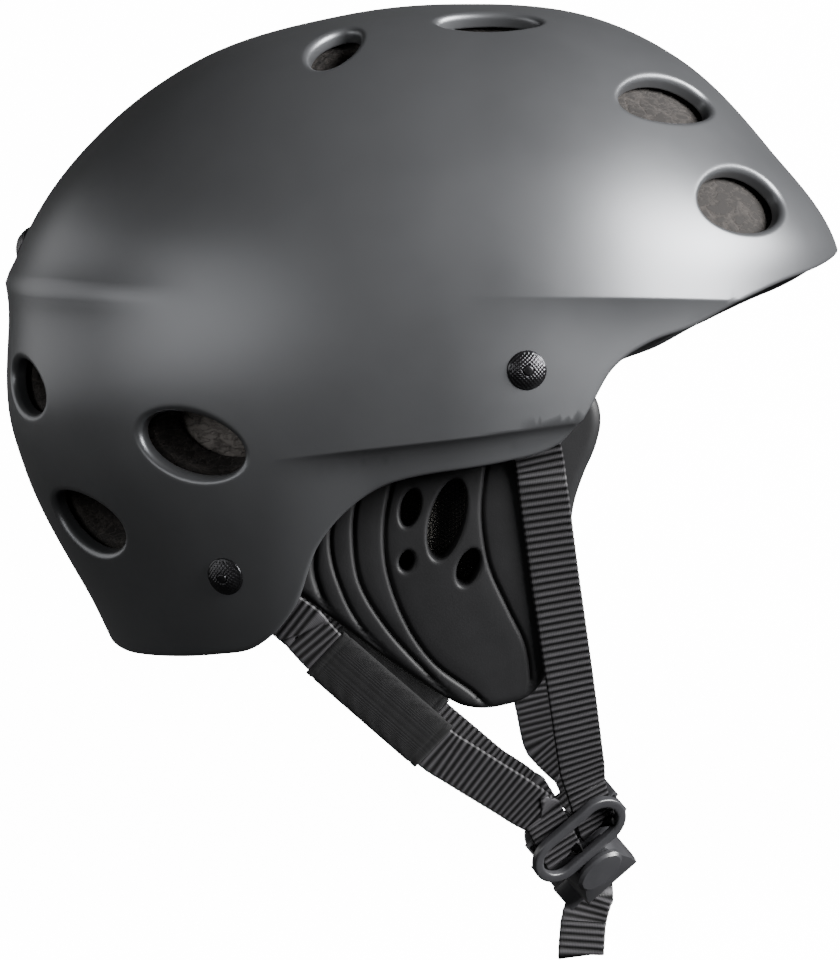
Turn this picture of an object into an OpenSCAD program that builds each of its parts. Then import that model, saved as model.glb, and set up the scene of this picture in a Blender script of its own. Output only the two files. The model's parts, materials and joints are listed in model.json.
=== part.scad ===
// Water helmet: hard outer shell with vents, foam liner and pads, ear flaps, webbing straps and a
// chin buckle. X points forward, Y to the wearer's left, Z up; the origin is the centre of the head
// opening at brow level. Millimetres. Side pieces are drawn for the left and mirrored for the right.

/* [Shell] */
// Length of the shell from the back ridge to the tip of the brim
shell_length = 285; // [265:1:305]
// Width of the shell at its widest
shell_width = 221; // [200:1:240]
// Thickness of the moulded shell
shell_wall = 3; // [2:0.25:4]
// How far the ridge across the back stands out
ridge_height = 3.6; // [0:0.2:6]
// How far the front sides are set back below the belt crease
belt_step = 5.5; // [0:0.5:9]
// How far the band over the ear opening is turned in
ear_step = 4.5; // [0:0.5:6]

/* [Liner and pads] */
// Depth of the liner's inner face under the shell's outer face
liner_depth = 17; // [14:0.5:20]
// Extra depth of the liner behind the brow
brow_extra = 15; // [8:1:18]
// Thickness of the comfort pads
pad_thickness = 6; // [4:0.5:8]
// Room between a pad and the liner for its hook tape
pad_gap = 1.4; // [1:0.1:2]

/* [Rivets] */
// Diameter of a rivet's domed head
head_diameter = 12.5; // [10:0.5:14]
// Height of a rivet's domed head
head_height = 2.6; // [2:0.2:4]
// Diameter of a rivet's shank
shank_diameter = 4; // [3:0.5:5]

/* [Straps] */
// Width of the webbing
webbing_width = 16; // [15:0.5:18]
// Thickness of the webbing
webbing_thickness = 1.5; // [1:0.1:1.6]
// Width of the fabric sleeve on a rear strap
sleeve_width = 18.4; // [18.4:0.2:20]

/* [Ear flap] */
// Thickness of the moulded ear flap
flap_thickness = 9; // [6:0.5:10]

/* [Hidden] */
$fn = 48;
gap = 0.35;
tilt = 34;
eye = [20, 0, -5];
long = shell_length / 285;
wide = shell_width / 221;
blend_power = 2.2;
azimuths = 60;
rings = 25;

// Middle outline of the shell, front lower corner over the top to the back, as [x, z].
outline = [[128, -62], [143, -3], [142.5, 19], [120, 51], [92, 80], [64, 95], [20, 101.3],
    [-32, 96], [-80, 80], [-107, 60], [-134, 24], [-140, -5], [-141, -37], [-135.5, -57],
    [-114, -99], [-99, -128]];
// Half width of the shell against height, as [y, z].
side_line = [[88, -132], [98, -96], [108, -50], [110, 0], [96, 47], [58, 89], [0, 101.3]];
// Angle of the lower edge below the centre, as [angle round the head, angle up].
rim_line = [[-31, 5.3], [0, 10.5], [31, 5.3], [45, 1], [54, -3.5], [62, -6.6], [68, -11],
    [72, -18], [76, -23.5], [86, -26.3], [106, -28.6], [113, -31.2], [119, -35.5], [124, -42],
    [132, -45.4], [140, -45.3], [160, -43.2], [180, -41.2], [200, -43.2]];
// Half spacing of the hanging straps against the distance down from the rim.
hang_line = [[20, 93.5], [50, 92.5], [68, 91], [90, 85.5], [115, 77], [135, 68.5], [155, 57],
    [170, 45.2], [182, 34.5], [195, 22]];

// Vents: angle round, angle up, half length, half height, turn, open through the liner.
vents = [[127, 47, 12.5, 7.8, -80, true], [87, 60, 17, 8, -4, true], [47.5, 37, 21, 10, -6, false],
    [41.5, 17, 20, 11.5, -8, false], [136, -19, 19, 10.2, 14, true],
    [158, -26.5, 19.5, 10.5, 14, true], [164, -9, 15, 8.6, 20, true]];
front_rivet = [82.8, -11.1];
rear_rivet = [134.7, -36.5];
centre_rivet = [180, 9.5];

function clamp01(v) = min(1, max(0, v));
function ease(v) = clamp01(v) * clamp01(v) * (3 - 2 * clamp01(v));
function slope(p, i) = let(a = max(i - 1, 0), b = min(i + 1, len(p) - 1))
    (p[b][1] - p[a][1]) / (p[b][0] - p[a][0]);
function span(p, x, i = 0) = i >= len(p) - 2 || p[i + 1][0] > x ? i : span(p, x, i + 1);
function curve(p, x) = let(i = span(p, x), h = p[i + 1][0] - p[i][0], t = (x - p[i][0]) / h)
    p[i][1] * (2 * t^3 - 3 * t^2 + 1) + h * slope(p, i) * (t^3 - 2 * t^2 + t)
    + p[i + 1][1] * (3 * t^2 - 2 * t^3) + h * slope(p, i + 1) * (t^3 - t^2);
function turn_of(z, x) = let(a = atan2(z, x)) a < -90 ? a + 360 : a;
outline_polar = [for (p = outline)
    [turn_of(p[1] - eye[2], p[0] * long - eye[0]), norm([p[0] * long - eye[0], p[1] - eye[2]])]];
side_half = [for (p = side_line)
    [atan2(p[1] - eye[2], p[0] * wide), norm([p[0] * wide, p[1] - eye[2]])]];
side_polar = concat(side_half, [[180 - side_half[5][0], side_half[5][1]]]);
function rim_angle(a) = curve(rim_line, abs(a > 180 ? 360 - a : a));

// Radius of the smooth shell: front-back and side profiles joined by a rounded-square rule.
// The corners fill out by blend_power low down and become a plain ellipse towards the crown.
function smooth_radius(a, e) = let(c = cos(a), s = sin(a),
    n = 2 + (blend_power - 2) * (1 - ease((e - 25) / 60)),
    fb = curve(outline_polar, c >= 0 ? e : 180 - e), sd = curve(side_polar, e))
    pow(pow(abs(c / fb), n) + pow(abs(s / sd), n), -1 / n);
// Change of radius at the back ridge, the front belt crease and the band over the ear.
function creases(a, e, r) = let(c = cos(a), s = sin(a), x = eye[0] + r * cos(e) * c,
    z = eye[2] + r * sin(e), q = z - (9.5 - 16 * pow(abs(s), 0.75)), k = q > 0 ? q / 7 : q / 8)
    ridge_height * ease((-c - 0.68) / 0.25) * exp(-(sqrt(k * k + 0.03) - 0.17))
    - belt_step * ease((c + 0.12) / 0.62) * (1 - exp(-max(-3.5 - z, 0) / 12))
    - ear_step * ease((x + 50) / 35) * (1 - exp(-max(-49.6 + 0.1123 * x - z, 0) / 4));
function ray(a, e) = [cos(e) * cos(a), cos(e) * sin(a), sin(e)];
function skin_point(a, e, depth, plain = false) = let(r = smooth_radius(a, e))
    eye + (r + (plain ? 0 : creases(a, e, r)) - depth) * ray(a, e);
function normal_at(a, e) = let(p = skin_point(a + 0.5, e, 0) - skin_point(a - 0.5, e, 0),
    q = skin_point(a, e + 0.5, 0) - skin_point(a, e - 0.5, 0), n = cross(p, q)) n / norm(n);
function below(a, e, depth) = skin_point(a, e, 0) - normal_at(a, e) * depth;
function liner_inner(a, e) = liner_depth
    + brow_extra * ease((cos(a) - 0.2) / 0.7) * ease((60 - e) / 60);
function liner_outer(a, e) = shell_wall + 1.7
    + 10 * ease((cos(a) - 0.8) / 0.2) * ease((22 - e) / 12);

// Closed solid between two grids of points; a is the outer one, columns run left to right.
module skin(a, b, wrap = false, tips = []) {
    n = len(a[0]);
    m = len(a);
    k = n * m;
    cap = len(tips) == 2;
    last = wrap ? n - 1 : n - 2;
    points = concat([for (r = a) each r], [for (r = b) each r], tips);
    faces = [for (i = [0:last]) let(h = (i + 1) % n) each concat(
        [for (j = [0:m - 2]) each [[j * n + i, j * n + n + i, j * n + n + h],
            [j * n + i, j * n + n + h, j * n + h],
            [k + j * n + i, k + j * n + n + h, k + j * n + n + i],
            [k + j * n + i, k + j * n + h, k + j * n + n + h]]],
        [[i, h, k + h], [i, k + h, k + i]],
        cap ? [[k - n + h, k - n + i, 2 * k], [2 * k - n + i, 2 * k - n + h, 2 * k + 1]]
            : [[k - n + h, k - n + i, 2 * k - n + i], [k - n + h, 2 * k - n + i, 2 * k - n + h]])];
    sides = wrap ? [] : [for (j = [0:m - 2]) each [[j * n + n, j * n, k + j * n],
        [j * n + n, k + j * n, k + j * n + n],
        [j * n + n - 1, j * n + 2 * n - 1, k + j * n + 2 * n - 1],
        [j * n + n - 1, k + j * n + 2 * n - 1, k + j * n + n - 1]]];
    polyhedron(points, concat(faces, sides));
}

// Bowl between two depths under the shell's face, from an edge angle up to the crown.
module bowl(outer, inner, edge, columns, rows) {
    turns = [for (i = [0:columns - 1]) 360 * i / columns];
    skin([for (j = [0:rows - 1]) [for (a = turns) outer(a, edge(a) + (89 - edge(a)) * j / rows)]],
        [for (j = [0:rows - 1]) [for (a = turns) inner(a, edge(a) + (89 - edge(a)) * j / rows)]],
        true, [outer(0, 90), inner(0, 90)]);
}

// Pad lying on the liner's inner face over a range of angles.
module pad(a0, a1, e0, e1, columns, rows) {
    function here(i, j, extra) = let(a = a0 + (a1 - a0) * i / columns,
        e = e0 + (e1 - e0) * j / rows) skin_point(a, e, liner_inner(a, e) + extra, true);
    skin([for (j = [0:rows]) [for (i = [0:columns]) here(i, j, pad_gap)]],
        [for (j = [0:rows]) [for (i = [0:columns]) here(i, j, pad_gap + pad_thickness)]]);
}

// Stands children on the shell with Z outwards and X along the level tangent.
module on_shell(a, e) {
    n = normal_at(a, e);
    h = cross([0, 0, 1], n) / norm(cross([0, 0, 1], n));
    v = cross(n, h);
    p = skin_point(a, e, 0);
    multmatrix([[h[0], v[0], n[0], p[0]], [h[1], v[1], n[1], p[1]], [h[2], v[2], n[2], p[2]]])
        children();
}

module both_sides() {
    children();
    mirror([0, 1, 0]) children();
}

module vent_cutters(inset, through_only) {
    for (v = vents) {
        if (v[5] || !through_only)
            on_shell(v[0], v[1]) rotate(v[4]) scale([1, (v[3] - inset) / (v[2] - inset), 1])
                cylinder(r = v[2] - inset, h = 90, center = true, $fn = 40);
    }
}

// Hanging surface of the straps: s runs along the hinge line, w away from the rim.
function lean(s, w) = 0.11 * max(0, -2 - s) * (1 - ease((w - 68) / 97));
function local(s, y, w) = [s * cos(tilt) + w * sin(tilt), y, s * sin(tilt) - w * cos(tilt)];
function hang(s, w) = local(s, curve(hang_line, w) - lean(s, w), w);
function hang_normal(s, w) = let(n = cross(hang(s, w + 1) - hang(s, w - 1),
    hang(s + 1, w) - hang(s - 1, w))) n / norm(n) * (n[1] > 0 ? 1 : -1);
function sunk(s, w, depth) = hang(s, w) - hang_normal(s, w) * depth;

// Flat band through centre points with a given direction across it.
module band(centres, across, width, thickness) {
    m = len(centres) - 1;
    function along(i) = let(d = centres[min(i + 1, m)] - centres[max(i - 1, 0)]) d / norm(d);
    function flat(i) = let(d = across[i] - along(i) * (across[i] * along(i))) d / norm(d);
    function corner(i, side, up) = centres[i] + flat(i) * side * (is_list(width) ? width[i] : width) / 2
        + cross(flat(i), along(i)) * up * thickness / 2;
    skin([for (i = [0:m]) [corner(i, -1, 1), corner(i, 1, 1)]],
        [for (i = [0:m]) [corner(i, -1, -1), corner(i, 1, -1)]]);
}

function across_hang(path, i) = let(k = len(path) - 1, p = path[max(i - 1, 0)],
    q = path[min(i + 1, k)], t = hang(q[0], q[1]) - hang(p[0], p[1]))
    cross(t, hang_normal(path[i][0], path[i][1]));
// Points spread along a run of [s, w] corners.
function spread(p, steps) = [for (i = [0:len(p) - 2], k = [0:steps - 1])
    p[i] + (p[i + 1] - p[i]) * k / steps];

slant = 51.3;
down = [-cos(slant), sin(slant)];
out = [sin(slant), cos(slant)];
ring_mid = [40, 175.5];
bar_mid = [35.8, 176.3];
ring_s = -54.5;
wrap_radius = 2.8;

// The rings and the buckle hang turned a little against the hinge line.
buckle_turn = 7;
buckle_pivot = local(ring_s, 0, 176);
buckle_shift = [-1.3, 0, -3];
function aim(v) = [v[0] * cos(buckle_turn) - v[2] * sin(buckle_turn), v[1],
    v[0] * sin(buckle_turn) + v[2] * cos(buckle_turn)];
function facing(s, y, w) = aim(local(s, y, w));
function placed(s, y, w) = buckle_pivot + buckle_shift + aim(local(s, y, w) - buckle_pivot);
function at_bar(s, t, n) = placed(s, bar_mid[0] + down[0] * t + out[0] * n,
    bar_mid[1] + down[1] * t + out[1] * n);
wrap_turns = [90, 60, 30, 0, -30, -60, -90];

front_path = [[0, 69.1], [-15, 99.5], [-33, 138], [-42, 157], [-46, 167]];
rear_path = [[-92.3, 69.1], [-91, 78], [-78.6, 126.4], [-67.3, 153.3], [-62.6, 166]];
// On the left the webbing hangs further back before it reaches the buckle.
left_front_path = [[0, 69.1], [-8, 85], [-25, 106], [-43, 138], [-49.5, 153], [-47.5, 167]];
left_rear_path = [[-92.3, 69.1], [-91, 78], [-78.6, 126.4], [-71.5, 150], [-64, 166]];

// Strap from the rim down to the buckle bar, ending in a turn round the bar.
module hanging_strap(path, s_bar) {
    rows = concat(spread(path, 5), [path[len(path) - 1]]);
    free = [for (r = rows) hang(r[0], r[1])];
    turned = [for (a = wrap_turns) at_bar(s_bar, wrap_radius * cos(a), wrap_radius * sin(a))];
    ends = [at_bar(s_bar, -6, -3)];
    centres = concat(free, turned, ends);
    u = facing(1, 0, 0);
    sides = concat([for (i = [0:len(rows) - 1]) across_hang(rows, i)],
        [for (a = wrap_turns) u], [u]);
    widths = concat([for (r = rows) webbing_width - 1.8 * ease((r[1] - 150) / 16)],
        [for (a = concat(wrap_turns, [0])) webbing_width - 1.8]);
    band(centres, sides, widths, webbing_thickness);
}

front_end = [below(82.8, -7.3, 5.2), below(82.8, -11.1, 5), [34.8, 100.9, -35.5],
    [36.3, 95.9, -46.5], hang(0, 67.6)];
front_face = normal_at(front_rivet[0], front_rivet[1]);
rear_end = [below(138.6, -33.6, 4.9), below(134.7, -36.5, 4.9), [-50.5, 81.6, -99], hang(-92.3, 67.4)];
rear_face = [-0.38, 0.88, -0.28];
module strap_end(path, face, width, thickness, bore) {
    sides = [for (i = [0:len(path) - 1])
        cross(path[min(i + 1, len(path) - 1)] - path[max(i - 1, 0)], face[i])];
    difference() {
        band(path, sides, width, thickness);
        if (bore) children();
    }
}
module front_strap_end(width, thickness, bore) {
    faces = [front_face, front_face, front_face + [0, 1, 0], [0, 1, 0], [0, 1, 0]];
    strap_end(front_end, faces, width, thickness, bore)
        on_shell(front_rivet[0], front_rivet[1])
            cylinder(d = shank_diameter + 0.6, h = 30, center = true);
}
module rear_strap_end(width, thickness, bore) {
    strap_end(rear_end, [for (i = [0:3]) rear_face], width, thickness, bore)
        on_shell(rear_rivet[0], rear_rivet[1])
            cylinder(d = shank_diameter + 0.6, h = 30, center = true);
}

module rivet(place, depth) {
    dome = (pow(head_diameter / 2, 2) + pow(head_height, 2)) / (2 * head_height);
    foot = 3.2;
    on_shell(place[0], place[1]) {
        intersection() {
            translate([0, 0, head_height - dome + 0.15]) sphere(r = dome, $fn = 96);
            translate([0, 0, 0.15]) cylinder(d = head_diameter + 2, h = head_height + 1);
        }
        translate([0, 0, -depth]) cylinder(d = shank_diameter, h = depth + 0.6);
        translate([0, 0, -depth - 1.1]) cylinder(r = foot, h = 1.2);
    }
}

module rivet_hole(place) {
    on_shell(place[0], place[1]) cylinder(d = shank_diameter + 0.3, h = 20, center = true);
}

module washer(place, depth) {
    on_shell(place[0], place[1]) translate([0, 0, -depth + 0.1]) difference() {
        cylinder(r = 6, h = 1);
        translate([0, 0, -1]) cylinder(d = shank_diameter + 0.3, h = 3);
    }
}

// Ear flap outline as seen from the side, [x, z].
flap_outline = [[-44, -96], [-38, -99.5], [-14, -117.5], [8, -132.5], [18, -136.5], [28, -136],
    [37, -132.5], [43, -124], [47, -110], [49, -90], [50, -72], [53, -61], [57, -51],
    [58.5, -42], [56, -34], [49, -29], [30, -36], [10, -42], [-12, -48], [-30, -62],
    [-42, -76], [-46, -88]];
flap_hinge = 50;
module flap_slab(depth0, depth1, w0, w1, rows) {
    ss = [for (i = [0:14]) -100 + 10 * i];
    ws = [for (j = [0:rows]) w1 + (w0 - w1) * j / rows];
    skin([for (w = ws) [for (i = [0:14]) sunk(ss[14 - i], w, depth0)]],
        [for (w = ws) [for (i = [0:14]) sunk(ss[14 - i], w, depth1)]]);
}
module side_extrude(y0, y1) {
    translate([0, y1, 0]) rotate([90, 0, 0]) linear_extrude(y1 - y0) children();
}
module slot(x, z, half_long, half_wide, turn) {
    side_extrude(20, 130) translate([x, z]) rotate(turn) scale([half_wide / half_long, 1])
        circle(r = half_long, $fn = 28);
}
module flap_slots() {
    slot(-3.3, -70.2, 6.2, 3.2, -14);
    slot(8.6, -74, 13.4, 5.6, -14);
    slot(-4.3, -87.4, 3.4, 2.4, -14);
    slot(15.6, -89.5, 6.2, 3.5, -20);
}

module outer_shell() {
    color([0.2, 0.21, 0.22]) difference() {
        bowl(function(a, e) skin_point(a, e, 0), function(a, e) skin_point(a, e, shell_wall),
            function(a) rim_angle(a), azimuths, rings);
        both_sides() vent_cutters(0, false);
        both_sides() {
            rivet_hole(front_rivet);
            rivet_hole(rear_rivet);
        }
        rivet_hole(centre_rivet);
    }
}

// Foam liner in six panels: crown, front, two sides and two at the rear, with narrow seams.
crown_edge = 68;
module liner_cuts() {
    both_sides() {
        vent_cutters(1.5, true);
        side_extrude(55, 93.8) offset(2.5) polygon(flap_outline);
        front_strap_end(webbing_width + 3, 9.4, false);
        rear_strap_end(webbing_width + 3, 9.4, false);
    }
    on_shell(centre_rivet[0], centre_rivet[1]) translate([0, 0, -9]) cylinder(r = 7, h = 10);
}
module liner_panel(a0, a1, columns) {
    rows = 13;
    turns = [for (i = [0:columns]) a0 + 0.15 + (a1 - a0 - 0.3) * i / columns];
    function low(a) = rim_angle(a) + 0.8 - 3.3 * ease((cos(a) - 0.8) / 0.2);
    function up(a, j) = low(a) + (crown_edge - 0.3 - low(a)) * j / rows;
    // A resize by zeros keeps the size.
    color([0.12, 0.12, 0.13]) resize([0, 0, 0]) difference() {
        skin([for (j = [0:rows]) [for (a = turns) skin_point(a, up(a, j), liner_outer(a, up(a, j)))]],
            [for (j = [0:rows]) [for (a = turns) skin_point(a, up(a, j), liner_inner(a, up(a, j)), true)]]);
        liner_cuts();
    }
}
module liner_crown() {
    color([0.12, 0.12, 0.13])
        bowl(function(a, e) skin_point(a, e, liner_outer(a, e)),
            function(a, e) skin_point(a, e, liner_inner(a, e), true), function(a) crown_edge, 36, 4);
}
module liner_front() {
    liner_panel(-60, 60, 15);
}
module liner_left() {
    liner_panel(60, 112, 7);
}
module liner_right() {
    liner_panel(248, 300, 7);
}
module liner_rear_left() {
    liner_panel(112, 180, 9);
}
module liner_rear_right() {
    liner_panel(180, 248, 9);
}
module crown_pad() {
    color([0.16, 0.15, 0.15])
        bowl(function(a, e) skin_point(a, e, liner_inner(a, e) + pad_gap, true),
            function(a, e) skin_point(a, e, liner_inner(a, e) + pad_gap + pad_thickness, true),
            function(a) 70 - 6 * abs(cos(a)), 28, 4);
}
module front_pad() {
    color([0.16, 0.15, 0.15]) pad(-38, 38, 12, 32, 12, 4);
}
module rear_pad() {
    color([0.16, 0.15, 0.15]) pad(134, 226, -34, -10, 16, 4);
}
module left_side_pad() {
    color([0.16, 0.15, 0.15]) pad(62, 118, 0, 24, 10, 4);
}
module right_side_pad() {
    mirror([0, 1, 0]) left_side_pad();
}

strap_rivet_depth = 7.9;
module front_left_rivet() {
    color([0.1, 0.1, 0.1]) rivet(front_rivet, strap_rivet_depth);
}
module front_right_rivet() {
    mirror([0, 1, 0]) front_left_rivet();
}
module rear_left_rivet() {
    color([0.1, 0.1, 0.1]) rivet(rear_rivet, strap_rivet_depth);
}
module rear_right_rivet() {
    mirror([0, 1, 0]) rear_left_rivet();
}
module rear_centre_rivet() {
    color([0.1, 0.1, 0.1]) rivet(centre_rivet, 4.8);
}
module front_left_washer() {
    color([0.7, 0.7, 0.7]) washer(front_rivet, strap_rivet_depth);
}
module front_right_washer() {
    mirror([0, 1, 0]) front_left_washer();
}
module rear_left_washer() {
    color([0.7, 0.7, 0.7]) washer(rear_rivet, strap_rivet_depth);
}
module rear_right_washer() {
    mirror([0, 1, 0]) rear_left_washer();
}
module rear_centre_washer() {
    color([0.7, 0.7, 0.7]) washer(centre_rivet, 4.8);
}

module front_left_strap_end() {
    color([0.08, 0.08, 0.08]) front_strap_end(webbing_width, webbing_thickness, true);
}
module front_right_strap_end() {
    mirror([0, 1, 0]) front_left_strap_end();
}
module rear_left_strap_end() {
    color([0.08, 0.08, 0.08]) rear_strap_end(webbing_width, webbing_thickness, true);
}
module rear_right_strap_end() {
    mirror([0, 1, 0]) rear_left_strap_end();
}
module front_left_strap() {
    color([0.08, 0.08, 0.08]) hanging_strap(left_front_path, -46.9);
}
module front_right_strap() {
    color([0.08, 0.08, 0.08]) mirror([0, 1, 0]) hanging_strap(front_path, -46.9);
}
module rear_left_strap() {
    color([0.08, 0.08, 0.08]) hanging_strap(left_rear_path, -62.1);
}
module rear_right_strap() {
    color([0.08, 0.08, 0.08]) mirror([0, 1, 0]) hanging_strap(rear_path, -62.1);
}

// Tube of fabric round the rear strap, open at both ends.
module left_sleeve() {
    rows = spread([[-90.6, 79.5], [-78.9, 125]], 8);
    centres = [for (r = rows) hang(r[0], r[1])];
    sides = [for (i = [0:len(rows) - 1]) across_hang(rows, i)];
    longer = concat([centres[0] * 2 - centres[1]], centres,
        [centres[len(rows) - 1] * 2 - centres[len(rows) - 2]]);
    longer_sides = concat([sides[0]], sides, [sides[len(rows) - 1]]);
    color([0.1, 0.1, 0.1]) difference() {
        band(centres, sides, sleeve_width, webbing_thickness + 1.3);
        band(longer, longer_sides, webbing_width + 0.5, webbing_thickness + 0.4);
    }
}
module right_sleeve() {
    mirror([0, 1, 0]) left_sleeve();
}

module in_ring_plane(mid) {
    u = facing(1, 0, 0);
    p = placed(ring_s, mid[0], mid[1]);
    d = facing(0, down[0], down[1]);
    n = facing(0, out[0], out[1]);
    multmatrix([[u[0], d[0], n[0], p[0]], [u[1], d[1], n[1], p[1]], [u[2], d[2], n[2], p[2]]])
        children();
}
module oval(half, r) {
    hull() {
        translate([-half, 0]) circle(r = r);
        translate([half, 0]) circle(r = r);
    }
}
module left_ring() {
    color([0.1, 0.1, 0.1]) in_ring_plane(ring_mid) translate([0, 0, 1.7]) linear_extrude(3.2)
        difference() {
            oval(9, 9.5);
            oval(9, 6);
        }
}
module right_ring() {
    mirror([0, 1, 0]) left_ring();
}

bar_radius = 1.75;
module cross_bar(s0, s1, t) {
    translate([s0 - ring_s, t, 0]) rotate([0, 90, 0]) cylinder(r = bar_radius, h = s1 - s0);
}
// Section of the buckle halves in the plane across the hinge line, [y, w].
module section(s0, s1) {
    u = facing(1, 0, 0);
    d = facing(0, 0, 1);
    p = placed(s0, 0, 0);
    multmatrix([[0, d[0], u[0], p[0]], [1, d[1], u[1], p[1]], [0, d[2], u[2], p[2]]])
        linear_extrude(s1 - s0) children();
}
// Plan of the buckle halves seen along the strap, [s, y].
module plan(w0, w1) {
    u = facing(1, 0, 0);
    d = facing(0, 0, 1);
    p = placed(0, 0, w1);
    multmatrix([[u[0], 0, -d[0], p[0]], [u[1], 1, -d[1], p[1]], [u[2], 0, -d[2], p[2]]])
        linear_extrude(w1 - w0) children();
}
module box2(y0, y1, w0, w1) {
    translate([y0, w0]) square([y1 - y0, w1 - w0]);
}

module buckle_socket() {
    color([0.1, 0.1, 0.1]) mirror([0, 1, 0]) difference() {
        union() {
            intersection() {
                section(-67.5, -45.5) polygon([[1, 199.3], [20, 198.6], [31, 192], [36, 186.2],
                    [34.6, 183.1], [29.5, 180.6], [24, 184.5], [15, 188], [1, 189]]);
                plan(175, 205) polygon([[-68, 0], [-67.5, 17], [-66, 25], [-63, 32], [-60, 38],
                    [-51, 38], [-48, 32], [-46, 25], [-45.5, 17], [-45, 0]]);
            }
            in_ring_plane(bar_mid) translate([-1.8, 11, 5.6]) {
                linear_extrude(2.8) translate([-6, -3]) square([12, 7]);
                translate([0, 0, 2.4]) scale([1, 0.6, 1]) {
                    cylinder(r = 9, h = 1.7, $fn = 40);
                    translate([0, 0, 1.65]) cylinder(r1 = 9, r2 = 7.8, h = 1, $fn = 40);
                }
            }
            in_ring_plane(bar_mid) {
                cross_bar(-73, -36, 0);
                translate([0, 0, -1.75]) linear_extrude(2.4) difference() {
                    polygon([[-18.5, 0], [18.5, 0], [18.5, 6], [12, 9.8], [-12, 9.8], [-18.5, 6]]);
                    translate([-15.7, -1]) square([31.4, 5.4]);
                }
            }
        }
        section(-65.5, -47.5) box2(0, 15, 191.3, 196.3);
        section(-69, -40) box2(4.2, 10.2, 191.3, 196.3);
    }
}

prong_s = -56.5;
module prong(side) {
    s0 = prong_s + side * 6.4;
    s1 = prong_s + side * 9.4;
    color([0.12, 0.12, 0.12]) {
        section(s0 - 1.2, s0 + 1.2) box2(-11.6, 0.95, 192.3, 195.2);
        section(min(s0, s1), max(s0, s1)) box2(-9.3, -5, 192.3, 195.2);
    }
}
module plug_prong_front() {
    prong(1);
}
module plug_prong_rear() {
    prong(-1);
}

module in_ladder() {
    ladder_slant = 18.3;
    u = facing(1, 0, 0);
    v = facing(0, cos(ladder_slant), -sin(ladder_slant));
    n = facing(0, sin(ladder_slant), cos(ladder_slant));
    p = placed(0, 9, 194.3);
    multmatrix([[u[0], v[0], n[0], p[0]], [u[1], v[1], n[1], p[1]], [u[2], v[2], n[2], p[2]]])
        children();
}
module buckle_plug() {
    color([0.1, 0.1, 0.1]) {
        section(-74, -45.5) polygon([[1, 189.6], [8, 189.6], [10.5, 191.8], [10.5, 196.2],
            [8, 199], [1, 199]]);
        section(prong_s - 3, prong_s + 3) box2(-8, 1.5, 192.5, 195);
        in_ladder() translate([0, 0, -1.8]) linear_extrude(3.6) difference() {
            translate([-74, 0]) square([24, 18.4]);
            translate([-70.7, 1.2]) square([17.4, 3.9]);
            translate([-70.7, 8.3]) square([17.4, 6.1]);
        }
    }
}

// Plate that joins the left straps to the chin webbing.
module left_link() {
    color([0.1, 0.1, 0.1]) in_ring_plane(bar_mid) {
        cross_bar(-73, -36, 0);
        cross_bar(-73, -50.6, 9.5);
        translate([0, 0, -1.7]) linear_extrude(3.4) difference() {
            polygon([[-18.5, 0], [18.5, 0], [18.5, 6.6], [3.9, 11], [-18.5, 11]]);
            polygon([[-15.7, -1], [15.7, -1], [15.7, 5.2], [1.1, 7.2], [1.1, 12], [-15.7, 12]]);
        }
    }
}

// Chin webbing: turn round the link, run through the ladder, then the hanging folded tail.
function in_ladder_point(v, n) = placed(-62, 9 + 0.949 * v + 0.314 * n,
    194.3 - 0.314 * v + 0.949 * n);
chin_run = [[18.8, -5.6], [21, -6.2], [23.2, -6.3], [25.2, -5.5], [26, -3.5], [25.2, -1.5],
    [23.2, -0.7], [21, 0.9], [19.4, 2.7], [17, 3.6], [15.2, 3.6], [13.3, 2.4], [11.3, 0],
    [9.3, -2.6], [6.8, -3.3], [4.4, -2.6], [3.1, 0], [2.9, 4.2]];
tail_run = [[59.8, 15.8, -205.5], [57.3, 13.2, -213], [56.2, 11, -221], [55.9, 10, -224.6],
    [55.8, 8.4, -225.6], [55.9, 7.4, -224.2], [56.6, 8.2, -214]];
module chin_webbing() {
    centres = concat([for (p = chin_run) in_ladder_point(p[0], p[1])], tail_run);
    sides = concat([for (p = chin_run) facing(1, 0, 0)], [[0.87, 0, 0.49], [0.95, 0, 0.3],
        for (i = [0:4]) [0.99, 0, 0.14]]);
    color([0.08, 0.08, 0.08]) band(centres, sides, webbing_width, webbing_thickness);
}

module left_ear_flap() {
    color([0.07, 0.07, 0.07]) difference() {
        intersection() {
            flap_slab(1.7, 1.7 + flap_thickness, flap_hinge + 0.5, 140, 12);
            side_extrude(20, 130) polygon(flap_outline);
        }
        flap_slots();
    }
}
module right_ear_flap() {
    mirror([0, 1, 0]) left_ear_flap();
}
module left_flap_root() {
    color([0.07, 0.07, 0.07]) difference() {
        intersection() {
            flap_slab(1.7, 1.7 + flap_thickness, 30, flap_hinge, 4);
            side_extrude(20, 130) polygon(flap_outline);
        }
        flap_slots();
    }
}
module right_flap_root() {
    mirror([0, 1, 0]) left_flap_root();
}
module left_flap_mesh() {
    color([0.2, 0.2, 0.2]) intersection() {
        flap_slab(2 + flap_thickness, 2.7 + flap_thickness, 52, 96, 8);
        side_extrude(20, 130) polygon([[-10, -62], [16, -58], [24, -76], [22, -98], [-8, -94]]);
    }
}
module right_flap_mesh() {
    mirror([0, 1, 0]) left_flap_mesh();
}

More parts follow.
